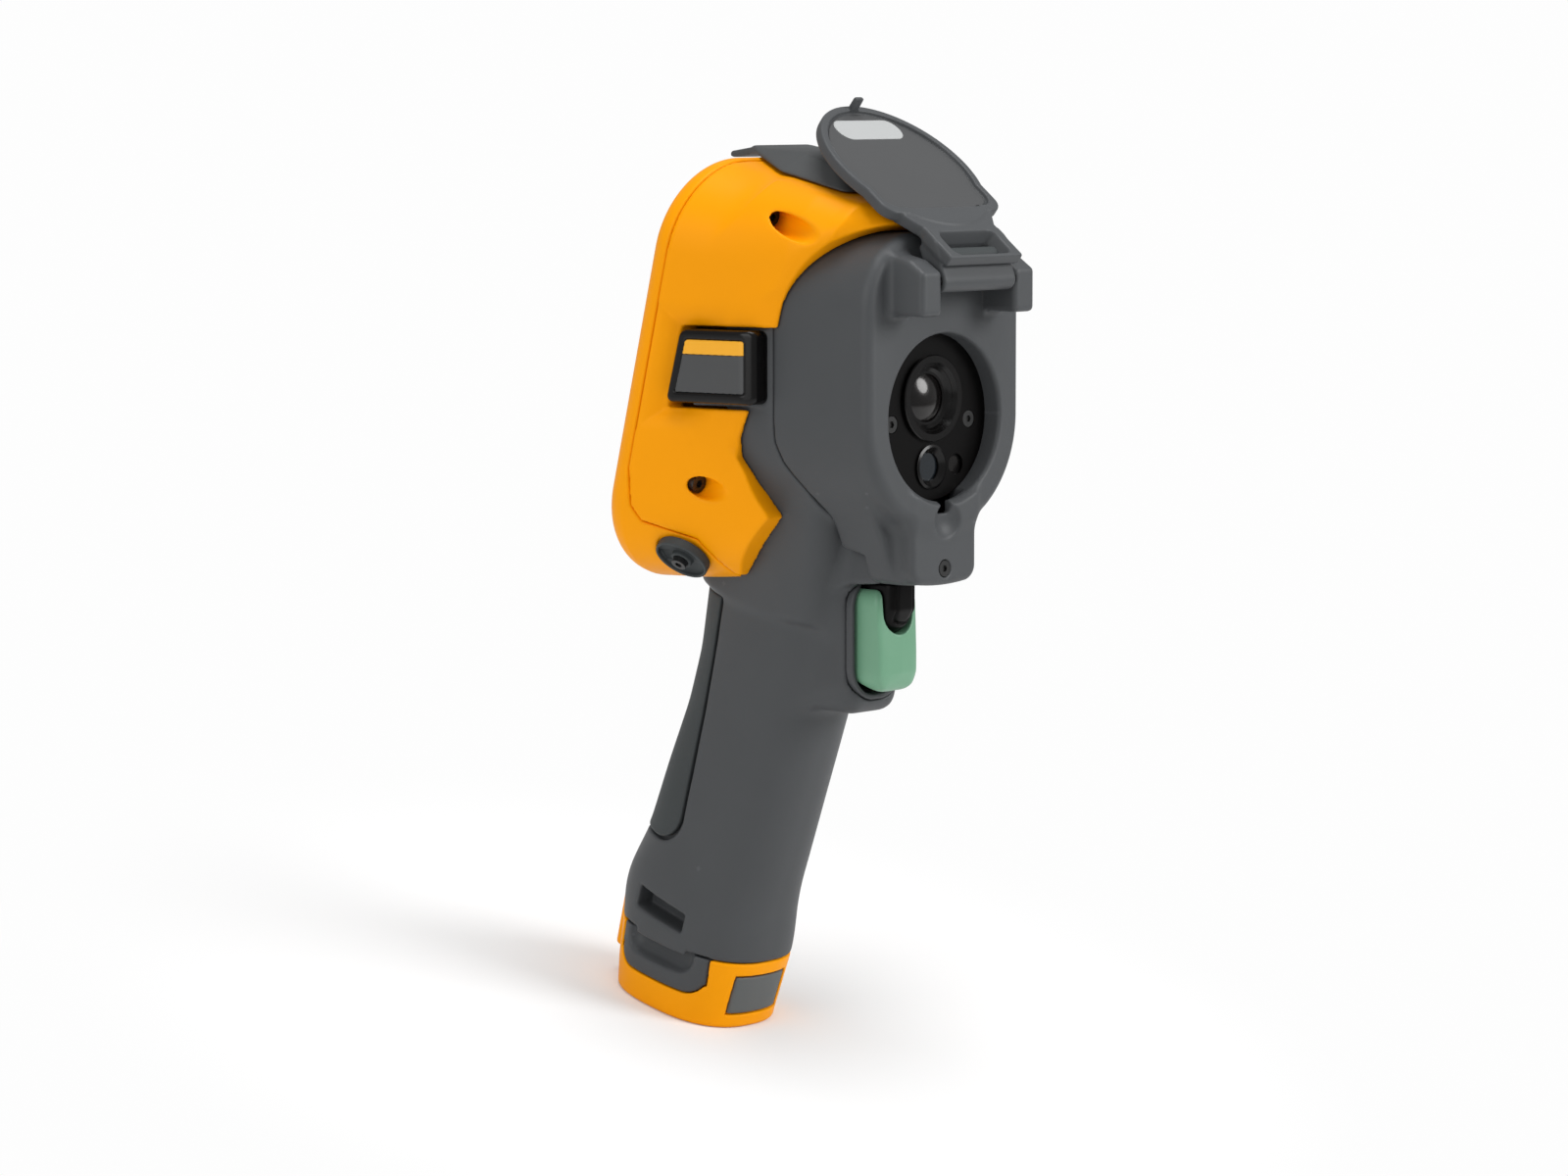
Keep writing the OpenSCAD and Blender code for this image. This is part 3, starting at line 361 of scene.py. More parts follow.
def finish(name, colour, rough=0.45, grain=0.35, depth=0.02, mottle=0.05, spec=0.4,
           metal=0.0, coat=0.0, edge=0.0):
    """Moulded or machined surface: grain in mm, depth of its relief in mm, edge the strength of
    a painted highlight on convex edges.
    """
    m = bpy.data.materials.new(name)
    m.use_nodes = True
    tree = m.node_tree
    shader = tree.nodes["Principled BSDF"]
    shader.inputs["Metallic"].default_value = metal
    shader.inputs["Specular IOR Level"].default_value = spec
    shader.inputs["Coat Weight"].default_value = coat
    shader.inputs["Coat Roughness"].default_value = 0.12
    place = tree.nodes.new("ShaderNodeTexCoord")

    def noise(scale, detail):
        n = tree.nodes.new("ShaderNodeTexNoise")
        n.inputs["Scale"].default_value = scale
        n.inputs["Detail"].default_value = detail
        tree.links.new(place.outputs["Object"], n.inputs["Vector"])
        return n

    cloud = noise(55, 3)
    mix = tree.nodes.new("ShaderNodeMix")
    mix.data_type = "RGBA"
    mix.inputs["A"].default_value = [c * (1 - mottle) for c in colour] + [1]
    mix.inputs["B"].default_value = [min(1, c * (1 + mottle)) for c in colour] + [1]
    tree.links.new(cloud.outputs["Fac"], mix.inputs["Factor"])
    last = mix.outputs["Result"]
    # edge: painted highlight, convex edges lightened by pointiness as if they caught the light
    if edge:
        geometry = tree.nodes.new("ShaderNodeNewGeometry")
        ramp = tree.nodes.new("ShaderNodeMapRange")
        ramp.inputs["From Min"].default_value = 0.52
        ramp.inputs["From Max"].default_value = 0.62
        ramp.inputs["To Max"].default_value = edge
        edge_highlight = tree.nodes.new("ShaderNodeMix")
        edge_highlight.data_type = "RGBA"
        edge_highlight.inputs["B"].default_value = [min(1, c * 1.9 + 0.02) for c in colour] + [1]
        tree.links.new(geometry.outputs["Pointiness"], ramp.inputs["Value"])
        tree.links.new(ramp.outputs["Result"], edge_highlight.inputs["Factor"])
        tree.links.new(last, edge_highlight.inputs["A"])
        last = edge_highlight.outputs["Result"]
    tree.links.new(last, shader.inputs["Base Color"])
    fine = noise(1000 / grain, 2)
    spread = tree.nodes.new("ShaderNodeMapRange")
    spread.inputs["To Min"].default_value = max(0.02, rough - 0.05)
    spread.inputs["To Max"].default_value = rough + 0.05
    tree.links.new(fine.outputs["Fac"], spread.inputs["Value"])
    tree.links.new(spread.outputs["Result"], shader.inputs["Roughness"])
    bump = tree.nodes.new("ShaderNodeBump")
    bump.inputs["Strength"].default_value = 0.5
    bump.inputs["Distance"].default_value = depth * MM
    tree.links.new(fine.outputs["Fac"], bump.inputs["Height"])
    tree.links.new(bump.outputs["Normal"], shader.inputs["Normal"])
    return m


def glass(name, colour, rough, coat_tint, coat=1.0):
    """Dark coated window: colour varies softly under a clear gloss."""
    m = finish(name, colour, rough, 2.0, 0.001, 0.3, 0.3, 0.0, coat)
    shader = m.node_tree.nodes["Principled BSDF"]
    shader.inputs["Coat Tint"].default_value = coat_tint + [1]
    shader.inputs["Coat Roughness"].default_value = 0.03
    return m


# name, colour, roughness, grain, relief, mottle, specular level
YELLOW = finish("yellow_plastic", srgb(255, 162, 0), 0.42, 0.45, 0.014, 0.02, 0.1)
GREY = finish("grey_plastic", srgb(73, 75, 77), 0.48, 0.4, 0.02, 0.05, 0.27, edge=0.25)
LIGHT_GREY = finish("light_grey_plastic", srgb(94, 97, 97), 0.5, 0.4, 0.02, 0.05, 0.3)
DOOR_RUBBER = finish("door_rubber", srgb(78, 80, 81), 0.6, 0.5, 0.02, 0.06, 0.25)
RUBBER = finish("soft_rubber", srgb(62, 66, 67), 0.6, 0.5, 0.02, 0.06, 0.25, edge=0.15)
BLACK = finish("black_plastic", srgb(9, 8, 8), 0.24, 0.8, 0.006, 0.1, 0.3)
MATT_BLACK = finish("matt_black", srgb(5, 4, 4), 0.32, 0.4, 0.008, 0.1, 0.14)
GREEN = finish("green_plastic", srgb(112, 160, 130), 0.34, 0.5, 0.01, 0.03, 0.4)
LABEL = finish("label_grey", srgb(72, 73, 74), 0.4, 0.25, 0.006, 0.04, 0.4)
BAND = finish("label_yellow", srgb(250, 178, 38), 0.38, 0.25, 0.005, 0.03, 0.4)
PALE = finish("label_pale", srgb(172, 174, 174), 0.5, 0.25, 0.005, 0.03, 0.3)
DARK_METAL = finish("dark_screw", srgb(70, 70, 70), 0.34, 0.2, 0.01, 0.15, 0.5, metal=0.8)
STEEL = finish("steel", srgb(150, 152, 154), 0.3, 0.15, 0.006, 0.08, 0.5, metal=1.0)
ALLOY = finish("alloy", srgb(170, 172, 174), 0.4, 0.3, 0.01, 0.08, 0.5, metal=1.0)
BOARD = finish("board", srgb(28, 92, 52), 0.4, 0.6, 0.02, 0.12, 0.4)
CELL = finish("cell_wrap", srgb(48, 96, 150), 0.3, 1.0, 0.004, 0.05, 0.5)
BRASS = finish("brass", srgb(180, 140, 66), 0.3, 0.2, 0.006, 0.08, 0.5, metal=1.0)
LENS = glass("lens_glass", srgb(9, 7, 7), 0.2, [1.0, 0.94, 0.9], 0.35)
SCREEN = glass("screen_glass", srgb(22, 26, 30), 0.06, [0.86, 0.94, 1.0])


# ---- the main outer volumes ----

def head(g, inset=0.0):
    t = np.clip((SEAM_Y - g.py) / (SEAM_Y + 21), 0, 1)
    side = round_rect(g.x, g.pz - (HEAD_MID + 5.5 * t), HALF_W - 16 * t - inset,
                      HEAD_H / 2 - 6.5 * t - inset, 28 - 6 * t - inset) * 0.945
    d = round_max(side, g.py - (BACK_Y - 2 * inset), 7)
    return np.maximum(d, -21 + inset - g.py)


def hood(g):
    s = np.clip((-12 - g.py) / 22.5, 0, 1)
    d = round_rect(g.x, g.pz - (HEAD_TOP - 15 + 1.5 * s), HALF_W - 16 - 7.5 * s,
                   14 - 4 * s, 14 - 4 * s)
    d = round_max(d, -34.5 - g.py, 3)
    return np.maximum(d, g.py)


def barrel(g, grow=0.0, front=FRONT_Y, end=None):
    r = BARREL_R + FLARE * np.clip((g.hy + 42.75) / 50.75, 0, 1.2) + grow
    top = BARREL_TOP + grow
    upper = round_rect(g.x, g.hz - top / 2 + 22, r, top / 2 + 22, SHOULDER)
    d = np.minimum(np.hypot(g.x, g.hz) - r, np.maximum(upper, -g.hz))
    d = round_max(d, front - g.hy, 3.4)
    return d if end is None else np.maximum(d, g.hy - end)


def neck(g):
    upper = (ring_points(BARREL_R - 2.5, (0, -21, 0), "y", 40)
             + ring_points(BARREL_R + FLARE - 2.5, (0, SLEEVE_END, 0), "y", 40))
    lower = []
    for sx in (-1, 1):
        for z in (GRIP_H + 1, GRIP_H + 4):
            lower += ring_points(10, (sx * 10.5, -22.5, z), "z")
            lower += ring_points(11, (sx * 10, 9, z), "z")
    return hull(g, to_grid(g, upper, head_frame) + to_grid(g, lower, ROW), 2.0)


RINGS = np.array([[0, -20.9, 28.3, 3.3], [1.5, -21, 28.5, 3.5], [10, -21.8, 29.8, 5],
                  [24, -23.6, 31, 5.5], [31, -23.5, 32.6, 5], [38, -22.9, 32.2, 4],
                  [46, -23.3, 29.8, 2], [54, -24.3, 27.2, 1], [75, -26.5, 24.3, 0],
                  [96, -28.6, 20.6, -0.5], [114, -30, 19.2, 0.5], [135, -32.5, 20.5, 2.5],
                  [151, -33, 21, 3]])
levels = np.arange(-20, 172, 0.5)
kernel = np.exp(-0.5 * (np.arange(-16, 17) * 0.5 / 2.6) ** 2)
kernel /= kernel.sum()
softened = [np.convolve(np.pad(np.interp(levels, RINGS[:, 0], RINGS[:, k]), 16, "edge"),
                        kernel, "valid") for k in (1, 2, 3)]


def handle(g):
    front, back, wide = (np.interp(g.pz, levels, s).astype(np.float32) for s in softened)
    half_x, half_y = (39 + wide) / 2, (back - front) / 2
    u = np.abs(g.x / half_x)
    v = np.abs((g.py - (front + back) / 2) / half_y)
    f = (u ** 2.5 + v ** 2.5) ** 0.4
    slope = np.hypot(u ** 1.5 / half_x, v ** 1.5 / half_y) + 1e-4
    d = (f - 1) * f ** 1.5 / slope
    d = np.where(f < 0.25, -6, d)
    return np.maximum(np.clip(d, -12, 60), g.pz - 151)


def parting(g):
    y = PARTING_Y
    return outline(g.hy, g.hz, [(-90, 75), (y, 75), (y, -7), (y - 1.7, -13), (y - 6, -20.5),
                                (y - 10, -29.5), (y - 10, 11.2 - CHIN_Z),
                                (CHIN_BACK, 9 - CHIN_Z), (CHIN_BACK, -CHIN_Z - 10),
                                (-90, -CHIN_Z - 10)])


def bare_side(g):
    d = np.minimum(np.hypot(g.hy + 50, g.hz - 20) - 38.6,
                   np.hypot(g.hy + 25, g.hz + 12) - 26.2)
    return np.minimum(d, outline(g.hy, g.hz, [(-100, 24), (-11.3, 24), (2.2, -6), (3.0, -12),
                                              (-5.3, -30), (16, -52), (16, -90),
                                              (-100, -90)]))


def rear_part(g):
    y = SEAM_Y
    return outline(g.py, g.pz, [(BACK_Y + 20, GRIP_H - 20), (BACK_Y + 20, HEAD_TOP + 20),
                                (y, HEAD_TOP + 20), (y, GRIP_H + 36), (y - 2.5, GRIP_H + 25),
                                (y - 6, GRIP_H + 21), (2, GRIP_H + 20), (-2.5, GRIP_H + 14),
                                (-6, GRIP_H + 6), (-6, GRIP_H - 20)])


def badge_window(g, grow=0.0):
    """Both side windows of the yellow shell, grown by grow."""
    d = np.maximum(span(g.hz, 2.5 - grow, 26.5 + grow), g.py - 17.8 - grow)
    return np.maximum(np.maximum(d, FRONT_Y + 10 - g.hy), 30 - np.abs(g.x))


def bulge(g):
    points = []
    for sx in (-1, 1):
        for z in (TRIGGER_LOW + 2, TRIGGER_LOW + 36):
            points += ring_points(6, (sx * 6.8, -12, z), "z")
        points += ball_points(5.5, (sx * 6, -12.5, TRIGGER_LOW - 1.8))
        for z in (TRIGGER_LOW - 5, TRIGGER_LOW + 34):
            points += ring_points(8.5, (sx * 5, 12, z), "z")
    return hull(g, to_grid(g, points, head_frame), 1.2)


def roof(g):
    points = (block_points((-12.6, CHIN_BACK + GAP, -CHIN_Z), (12.6, CHIN_BACK + 3, 9 - CHIN_Z))
              + block_points((-14, -14, -CHIN_Z - 1), (14, -6, 12 - CHIN_Z)))
    return hull(g, to_grid(g, points, head_frame), 1.2)


def anchor_point(g):
    """Coordinates of a grid in the frame of the strap anchor on its side."""
    m = anchor_frame.inverted()
    x = -np.abs(g.x)
    return [m[k][0] * x + m[k][1] * g.py + m[k][2] * g.pz + m[k][3] for k in range(3)]


# ---- display housing ----

def build_rear_frame():
    g = Grid((-52, -8, 133), (52, 35, 268), 0.6 * COARSE)
    outer = head(g)
    d = smooth_max(outer, rear_part(g) + SEAM, 0.5)
    d = cut(d, head(g, WALL), 0.5)
    for w, h, r, low in (PANEL_OPENING, PANEL_LEDGE):
        plate = round_rect(g.x, g.pz - HEAD_MID, w / 2, h / 2, r)
        d = cut(d, np.maximum(plate, low - g.py), 0.7)
    d = cut(d, np.minimum(neck(g), handle(g)) - GAP, 0.8)
    u, v, w = anchor_point(g)
    post = rod(u, v, w, 6, -12, 4)
    d = smooth_min(d, smooth_max(np.maximum(post, outer), np.maximum(-w - 12, 0), 0.3), 0.4)
    d = cut(d, np.maximum(np.hypot(u, v) - ANCHOR_R - 0.2, -4.0 - w), 0.8)
    return skin("rear_frame_skin", g, d, "housing", ["rear_frame"], YELLOW)


def front_outside(g, throat):
    """Outer surface of the front shell: head, hood, collar round the barrel, badge dip."""
    outer = smooth_min(head(g), hood(g), 14)
    cloak = np.minimum(barrel(g, 2.0, FRONT_Y, SLEEVE_END + 10), throat - 2.0)
    outer = smooth_min(outer, cloak, 4)
    near = np.maximum(span(g.hz, 1.5, 27.5), g.py - 19)
    soft = np.clip(1 - np.maximum(near, 0) / 7, 0, 1)
    rear_only = np.clip((g.py - 2) / 10, 0, 1)
    outer = outer + 2.4 * soft ** 2 * rear_only
    return smooth_max(outer, g.pz - HEAD_TOP, 1.5)


def build_front_shell():
    g = Grid((-52, -37, 145), (52, 27, 268), 0.6 * COARSE)
    bare = bare_side(g)
    throat = neck(g)
    outer = front_outside(g, throat)
    d = smooth_max(outer, -rear_part(g) + SEAM, 0.5)
    d = cut(d, head(g, THICK), 0.5)
    wide = 2.8 + 3.0 * np.clip((g.hz - 20) / 3, 0, 1) * np.clip((38 - g.hz) / 3, 0, 1)
    lip = (outer / 1.1 - bare / wide + 1) / np.hypot(1 / 1.1, 1 / wide)
    lip = lip - 2.0 * np.clip((-9 - g.hz) / 6, 0, 1)
    d = smooth_max(d, lip, 0.5)
    bare = np.minimum(bare, throat - GAP)
    d = cut(d, bare, 0.5)
    d = cut(d, barrel(g, GAP, FRONT_Y - 3, SLEEVE_END + 4), 0.5)
    d = cut(d, badge_window(g, GAP), 0.6)
    d = cut(d, handle(g) - GAP, 0.6)
    cos_s, sin_s = math.cos(SCALLOP_TURN), math.sin(SCALLOP_TURN)
    for x, y, z in SCREWS:
        u, v = np.abs(g.x) - x, g.py - y
        scallop = np.maximum(np.hypot(u * cos_s + v * sin_s, g.pz - z) - SCALLOP_R,
                             v * cos_s - u * sin_s + 0.8)
        seat = np.maximum(np.hypot(u, g.pz - z) - SEAT_R, span(v, -1.7, 0))
        d = cut(cut(d, scallop, 0.8), seat, 0.3)
    bay = block(g.x, g.py, g.pz, (-15, -4, HEAD_TOP - 10), (15, 20, HEAD_TOP + 5))
    d = cut(d, bay, 0.6)
    return skin("front_shell_skin", g, d, "housing", ["front_shell"], YELLOW)


# ---- barrel, chin and ears ----

def build_barrel():
    g = Grid((-40, -64, -54), (40, -4, 60), 0.5 * COARSE, head_frame)
    body = barrel(g)
    web = (ring_points(BARREL_R - 2, (0, FRONT_Y + 9, 0), "y", 40)
           + ring_points(BARREL_R - 2, (0, -19, 0), "y", 40)
           + block_points((-CHIN_W / 2, FRONT_Y + 8, 2 - CHIN_Z), (CHIN_W / 2, CHIN_BACK, -30))
           + block_points((-CHIN_W / 2 - 3, CHIN_BACK, 10 - CHIN_Z),
                          (CHIN_W / 2 + 3, -19, -30)))
    body = smooth_min(body, hull(g, web, 1.5), 3)
    body = smooth_max(body, parting(g) + SEAM, 0.5)
    bowed = g.z - 0.006 * g.x ** 2
    chin = round_rect(g.x, bowed + CHIN_Z - 26, CHIN_W / 2, 26, 4.2)
    chin = round_max(chin, span(g.y, FRONT_Y, CHIN_BACK - SEAM), 2.0)
    chin = np.maximum(chin, g.z + 24)
    body = smooth_min(body, chin, 4)
    for sx in (-1, 1):
        x = sx * g.x
        side = outline(g.y, g.z, [(-56.5, 32.5), (-56.5, 43), (-52, 46), (-43.5, 48),
                                  (-40, 48), (-40, 32.5)]) - 1.5
        body = smooth_min(body, round_max(np.abs(x - 21) - 4.5, side, 1.8), 2.5)
    body = cut(body, block(g.x, g.y, g.z, (-16.5, -62, 20), (16.5, FRONT_Y, 50)), 0.2)
    inner = barrel(g, -WALL, -34.0 - 2.2, SLEEVE_END + 3)
    body = cut(body, inner, 0.4)
    body = cut(body, block(g.x, g.y, g.z, (3 - CHIN_W / 2, FRONT_Y + 3, 3 - CHIN_Z),
                           (CHIN_W / 2 - 3, CHIN_BACK + 1, -20)), 0.5)
    r = np.hypot(g.x, g.z)
    mouth = np.maximum(r - 25 - np.maximum(-44 - g.y, 0) * 0.6, g.y + 36.5)
    body = cut(body, mouth, 0.5)
    body = cut(body, rod(g.x, g.z - 5.5, g.y, 12.2, -39, -33), 0.3)
    body = cut(body, rod(g.x, g.z + 15, g.y, 5.7, -39, -33), 0.3)
    body = cut(body, rod(g.x - LASER[0], g.z - LASER[1], g.y, 3.4, -39, -33), 0.3)
    body = cut(body, block(g.x, g.y, g.z, (-2.6, -47, -28.6), (2.6, -37, -22), 1.0), 0.4)
    ball = np.sqrt(g.x ** 2 + (g.y + 51.2) ** 2 + (g.z + 31) ** 2) - 8
    body = cut(body, ball, 0.35)
    body = cut(body, rod(g.x, g.z + 45, g.y, 2.6, -46, -43.6), 0.4)
    pin = rod(g.y - HINGE_Y, g.z - HINGE_Z, np.abs(g.x), 1.6, 10, 24)
    body = cut(body, pin, 0.3)
    return skin("barrel_skin", g, body, "housing", ["barrel_housing"], GREY)


# ---- lens cover ----

def cover_shape(x, z, grow=0.0):
    d = np.hypot(x, z + 42) - 28 - grow
    d = np.minimum(d, round_rect(x, z + 31, 26 + grow, 11 + grow, 5.0))
    return d


def build_cover():
    g = Grid((-30, -5, -72), (30, 16, 5), 0.36 * COARSE, cover_frame)
    plan = cover_shape(g.x, g.z)
    waist = outline(g.x, g.z, [(-21, -21), (-16.2, -14), (-16.2, 0), (16.2, 0), (16.2, -14),
                               (21, -21), (15, -26), (-15, -26)])
    d = round_max(plan, span(g.y, 6.5, 10), 0.7)
    arms = round_max(waist, span(g.y, 5.5, 9.3), 0.8)
    points = ring_points(3.2, (-16.2, 0, 0), "x") + ring_points(3.2, (16.2, 0, 0), "x")
    points += block_points((-16.2, 3, -12), (16.2, 9, -9))
    knuckle = smooth_max(hull(g, points, 0.7), np.abs(g.x) - 16.2, 0.8)
    d = smooth_min(smooth_min(d, arms, 1.2), knuckle, 1.2)
    tab = block_points((-2, 9, -68.8), (2, 10, -66.6)) + block_points((-1.8, 13.6, -68.8),
                                                                      (1.8, 14.4, -67.2))
    d = smooth_min(d, hull(g, tab, 0.5), 0.5)
    tray = round_max(cover_shape(g.x, g.z, -2.6), 8.8 - g.y, 0.3)
    tray = np.maximum(tray, g.z + 20 + 2.0)
    d = cut(d, tray, 0.6)
    window = round_rect(g.x, g.z + 6.4, 11, 3.6, 1.2) - np.maximum(g.y - 5.5, 0) * 0.45
    d = cut(d, np.maximum(window, -6 - g.y), 0.7)
    d = cut(d, rod(g.y, g.z, g.x, 1.6, -20, 20), 0.3)
    skin("cover_skin", g, d, "cover", ["lens_cover"], GREY)
    bar = round_max(np.hypot(g.y - 4.4, g.z + 6.2) - 2.3, np.abs(g.x) - 11.4, 0.5)
    skin("cover_bar", g, bar, "cover", [], RUBBER)
    label = round_max(cover_shape(g.x, g.z, -3.1), span(g.y, 8.7, 9.1), 0.15)
    label = np.maximum(label, g.z + 22.6)
    skin("cover_label_skin", g, label, "cover", ["cover_label"], LABEL)
    fine = Grid((-17, 8, -66), (17, 10.4, -52), 0.2 * COARSE, cover_frame)
    pill = round_rect(fine.x + 0.3, fine.z + 59.2, 14, 4.5, 4.2)
    pill = round_max(pill, span(fine.y, 9.0, 9.28), 0.1)
    skin("cover_patch", fine, pill, "cover", [], PALE)


# ---- top door ----

def build_door():
    g = Grid((-27, -18, 257), (27, 44.5, 275), 0.4 * COARSE)
    z = HEAD_TOP + GAP
    points = []
    for sx in (-1, 1):
        for x, y, r, top in ((11, 31, 2, 1.6), (22, 8, 3, 0.6), (20, -13, 3, 0.6),
                             (13, 8, 3, 6), (14, -4, 3, 5.5)):
            points += ring_points(r, (sx * x, y, z), "z", 16)
            points += ring_points(r, (sx * x, y, z + top), "z", 16)
    body = smooth_max(hull(g, points, 0.9), z - g.z, 0.5)
    tail = block_points((-12, 30, z + 0.2), (12, 32, z + 1.9))
    tail += block_points((-11, 41, HEAD_TOP - 3.6), (11, 42.5, HEAD_TOP - 2))
    body = smooth_min(body, hull(g, tail, 0.6), 1.5)
    plug = block(g.x, g.y, g.z, (-14.2, -3.2, HEAD_TOP - 2.5), (14.2, 19.2, z + 0.3), 0.6)
    body = np.minimum(body, plug)
    return skin("door_skin", g, body, "door", ["top_door"], DOOR_RUBBER)


# ---- handle ----

def pad_area(g, grow=0.0):
    d = round_max(5 - grow - g.py, 52 - grow - g.pz, 9.5)
    return np.maximum(d, g.pz - GRIP_H + 1)


def latch_area(g, grow=0.0):
    y, z = g.py, g.pz
    d = round_rect(y - 3.5, z - 18, 18 + grow, 4.5 + grow, 0.5)
    d = np.minimum(d, round_rect(y - 3.5, z - 15.5, 11, 6 + grow, 0.5))
    for at in (-7.5, 14.5):
        d = np.minimum(d, np.hypot(y - at, z - 16.5) - 7 - grow)
    return np.maximum(d, z - BASE_H - grow)


def pack_area(g, grow=0.0):
    return np.hypot(g.x, np.maximum(np.abs(g.gy) - 9.2, 0)) - 11.8 - grow


def build_handle():
    g = Grid((-46, -47, 21), (46, 36, 230), 0.62 * COARSE)
    grip = handle(g)
    body = smooth_max(grip, BASE_H + 0.05 - g.pz, 0.7)
    body = smooth_min(body, neck(g), 5)
    body = smooth_min(body, bulge(g), 5)
    body = smooth_min(body, roof(g), 3)
    sleeve = smooth_max(barrel(g, 0, FRONT_Y, SLEEVE_END), -parting(g) + SEAM, 0.4)
    body = smooth_min(body, sleeve, 2.5)
    seat = outline(np.abs(g.x), g.hy, [(33, PARTING_Y), (37.5, PARTING_Y + 2),
                                                  (43.2, 17.5), (40.2, 17.5), (34, 6)])
    seat = np.maximum(seat, span(g.hz, 3, 26))
    body = smooth_min(body, seat, 0.6)
    front = np.maximum(parting(g) - SEAM, span(g.hz, -51, 49))
    body = cut(body, front, 0.5)
    half = POCKET_W
    pocket = round_rect(g.x, g.hz - POCKET_Z, half, POCKET_H, 8.6)
    body = cut(body, np.maximum(pocket, span(g.hy, -60, -2)), 0.5)
    body = cut(body, block(g.x, g.hy, g.hz, (-half, -20.2, -57), (half, -10.4, -44.3)), 0.4)
    body = cut(body, barrel(g, -WALL, -36, 12), 0.5)
    body = cut(body, block(g.x, g.hy, g.hz, (-11, -22.2, -42.3), (11, 8, -20)), 0.5)
    ring = round_rect(g.x, g.hz - POCKET_Z, half + 2.1, POCKET_H + 2.1, 10.7)
    body = cut(body, np.maximum(ring, span(g.hy, -40, -15.4)), 0.4)
    bay = np.maximum(pack_area(g, GAP), span(g.gz, -5, 95))
    body = cut(body, bay, 0.6)
    body = cut(body, np.maximum(np.maximum(-(grip + 2.2), pad_area(g)), grip - 5), 0.6)
    slot = outline(g.py, g.pz, [(-3.4, 28.3), (15.8, 29.8), (15.8, 35.2), (-3.4, 33.0)]) - 0.7
    body = cut(body, np.maximum(slot, SLOT_FLOOR - np.abs(g.x)), 0.9)
    body = cut(body, np.maximum(latch_area(g, GAP), LATCH_WELL - np.abs(g.x)), 0.5)
    lobe = round_rect(g.py - 3.5, g.pz - 22.6, 10.5, 4, 3.6)
    lobe = np.maximum(smooth_max(lobe, grip, 0.7), LOBE_X - np.abs(g.x))
    body = smooth_min(body, lobe, 0.5)
    tongue = block(g.x, g.py, g.pz, (-9.3, 23.7, 8), (9.3, 60, 33.3), 1.0)
    body = cut(body, tongue, 0.5)
    return skin("handle_skin", g, body, "housing", ["handle_housing"], GREY)


def build_pad():
    g = Grid((-23, 2, 50), (23, 31, 136), 0.45 * COARSE)
    grip = handle(g)
    d = round_max(grip - 0.4, pad_area(g, -0.9), 0.7)
    d = smooth_max(d, -(grip + 2.1), 0.4)
    return skin("grip_pad_skin", g, d, "housing", ["grip_pad"], RUBBER)


# ---- trigger group ----

def build_bezel():
    g = Grid((-13, -20, -90), (13, -14, -46), 0.3 * COARSE, head_frame)
    ring = round_rect(g.x, g.hz - POCKET_Z, 11.7, POCKET_H + 1.8, 10.4)
    ring = smooth_max(ring, -round_rect(g.x, g.hz - POCKET_Z, 10.0, POCKET_H + 0.1, 8.7), 0.3)
    ring = round_max(ring, span(g.y, -18.2, -15.5), 0.6)
    ring = cut(ring, block(g.x, g.y, g.z, (-7.4, -20, -54), (7.4, -13, -44)), 0.3)
    skin("bezel_skin", g, ring, "housing", ["trigger_bezel"], GREY)


def trigger_grid():
    return Grid((-11, -31, -86), (11, -10, -43), 0.3 * COARSE, head_frame)


def build_primary_trigger():
    g = trigger_grid()
    points = []
    for sx in (-1, 1):
        x = sx * 5.2
        for z in (TRIGGER_LOW + 6, TRIGGER_LOW + 28):
            points += ring_points(4, (x, -24, z), "z", 20)
        points += ball_points(4, (x, -23, TRIGGER_LOW + 4))
        for z in (TRIGGER_TOP - 2, TRIGGER_TOP):
            points += ring_points(3, (sx * 6.2, -20, z), "z", 16)
        points += block_points((sx * 7.2 - 2, -12, TRIGGER_LOW + 6),
                               (sx * 7.2 + 2, -11, TRIGGER_TOP))
    d = hull(g, points, 0.9)
    ends = round_rect(g.x, g.z - POCKET_Z, 9.4, POCKET_H - 0.5, 7.6)
    d = smooth_max(d, np.minimum(ends, -17.5 - g.y), 0.8)
    crease = (-g.y - 28.0 + 0.16 * np.abs(g.x)) + np.maximum(g.z + 72, 0) * 0.07
    d = smooth_max(d, crease - 0.35, 1.0)
    lug = block(np.abs(g.x), g.y, g.z, (6.6, -17, -51.8), (9.2, -13, -44.9), 0.6)
    d = smooth_min(d, lug, 0.5)
    slot = np.maximum(np.abs(g.x) - SECOND_R, SECOND_Z - g.z)
    slot = np.minimum(slot, np.hypot(g.x, g.z - SECOND_Z) - SECOND_R)
    d = cut(d, slot, 0.4)
    pivot_y, pivot_z = TRIGGER_PIVOT
    d = cut(d, rod(g.y - pivot_y, g.z - pivot_z, g.x, 1.3, -20, 20), 0.2)
    skin("primary_trigger_skin", g, d, "primary_trigger", ["primary_trigger"], GREEN)


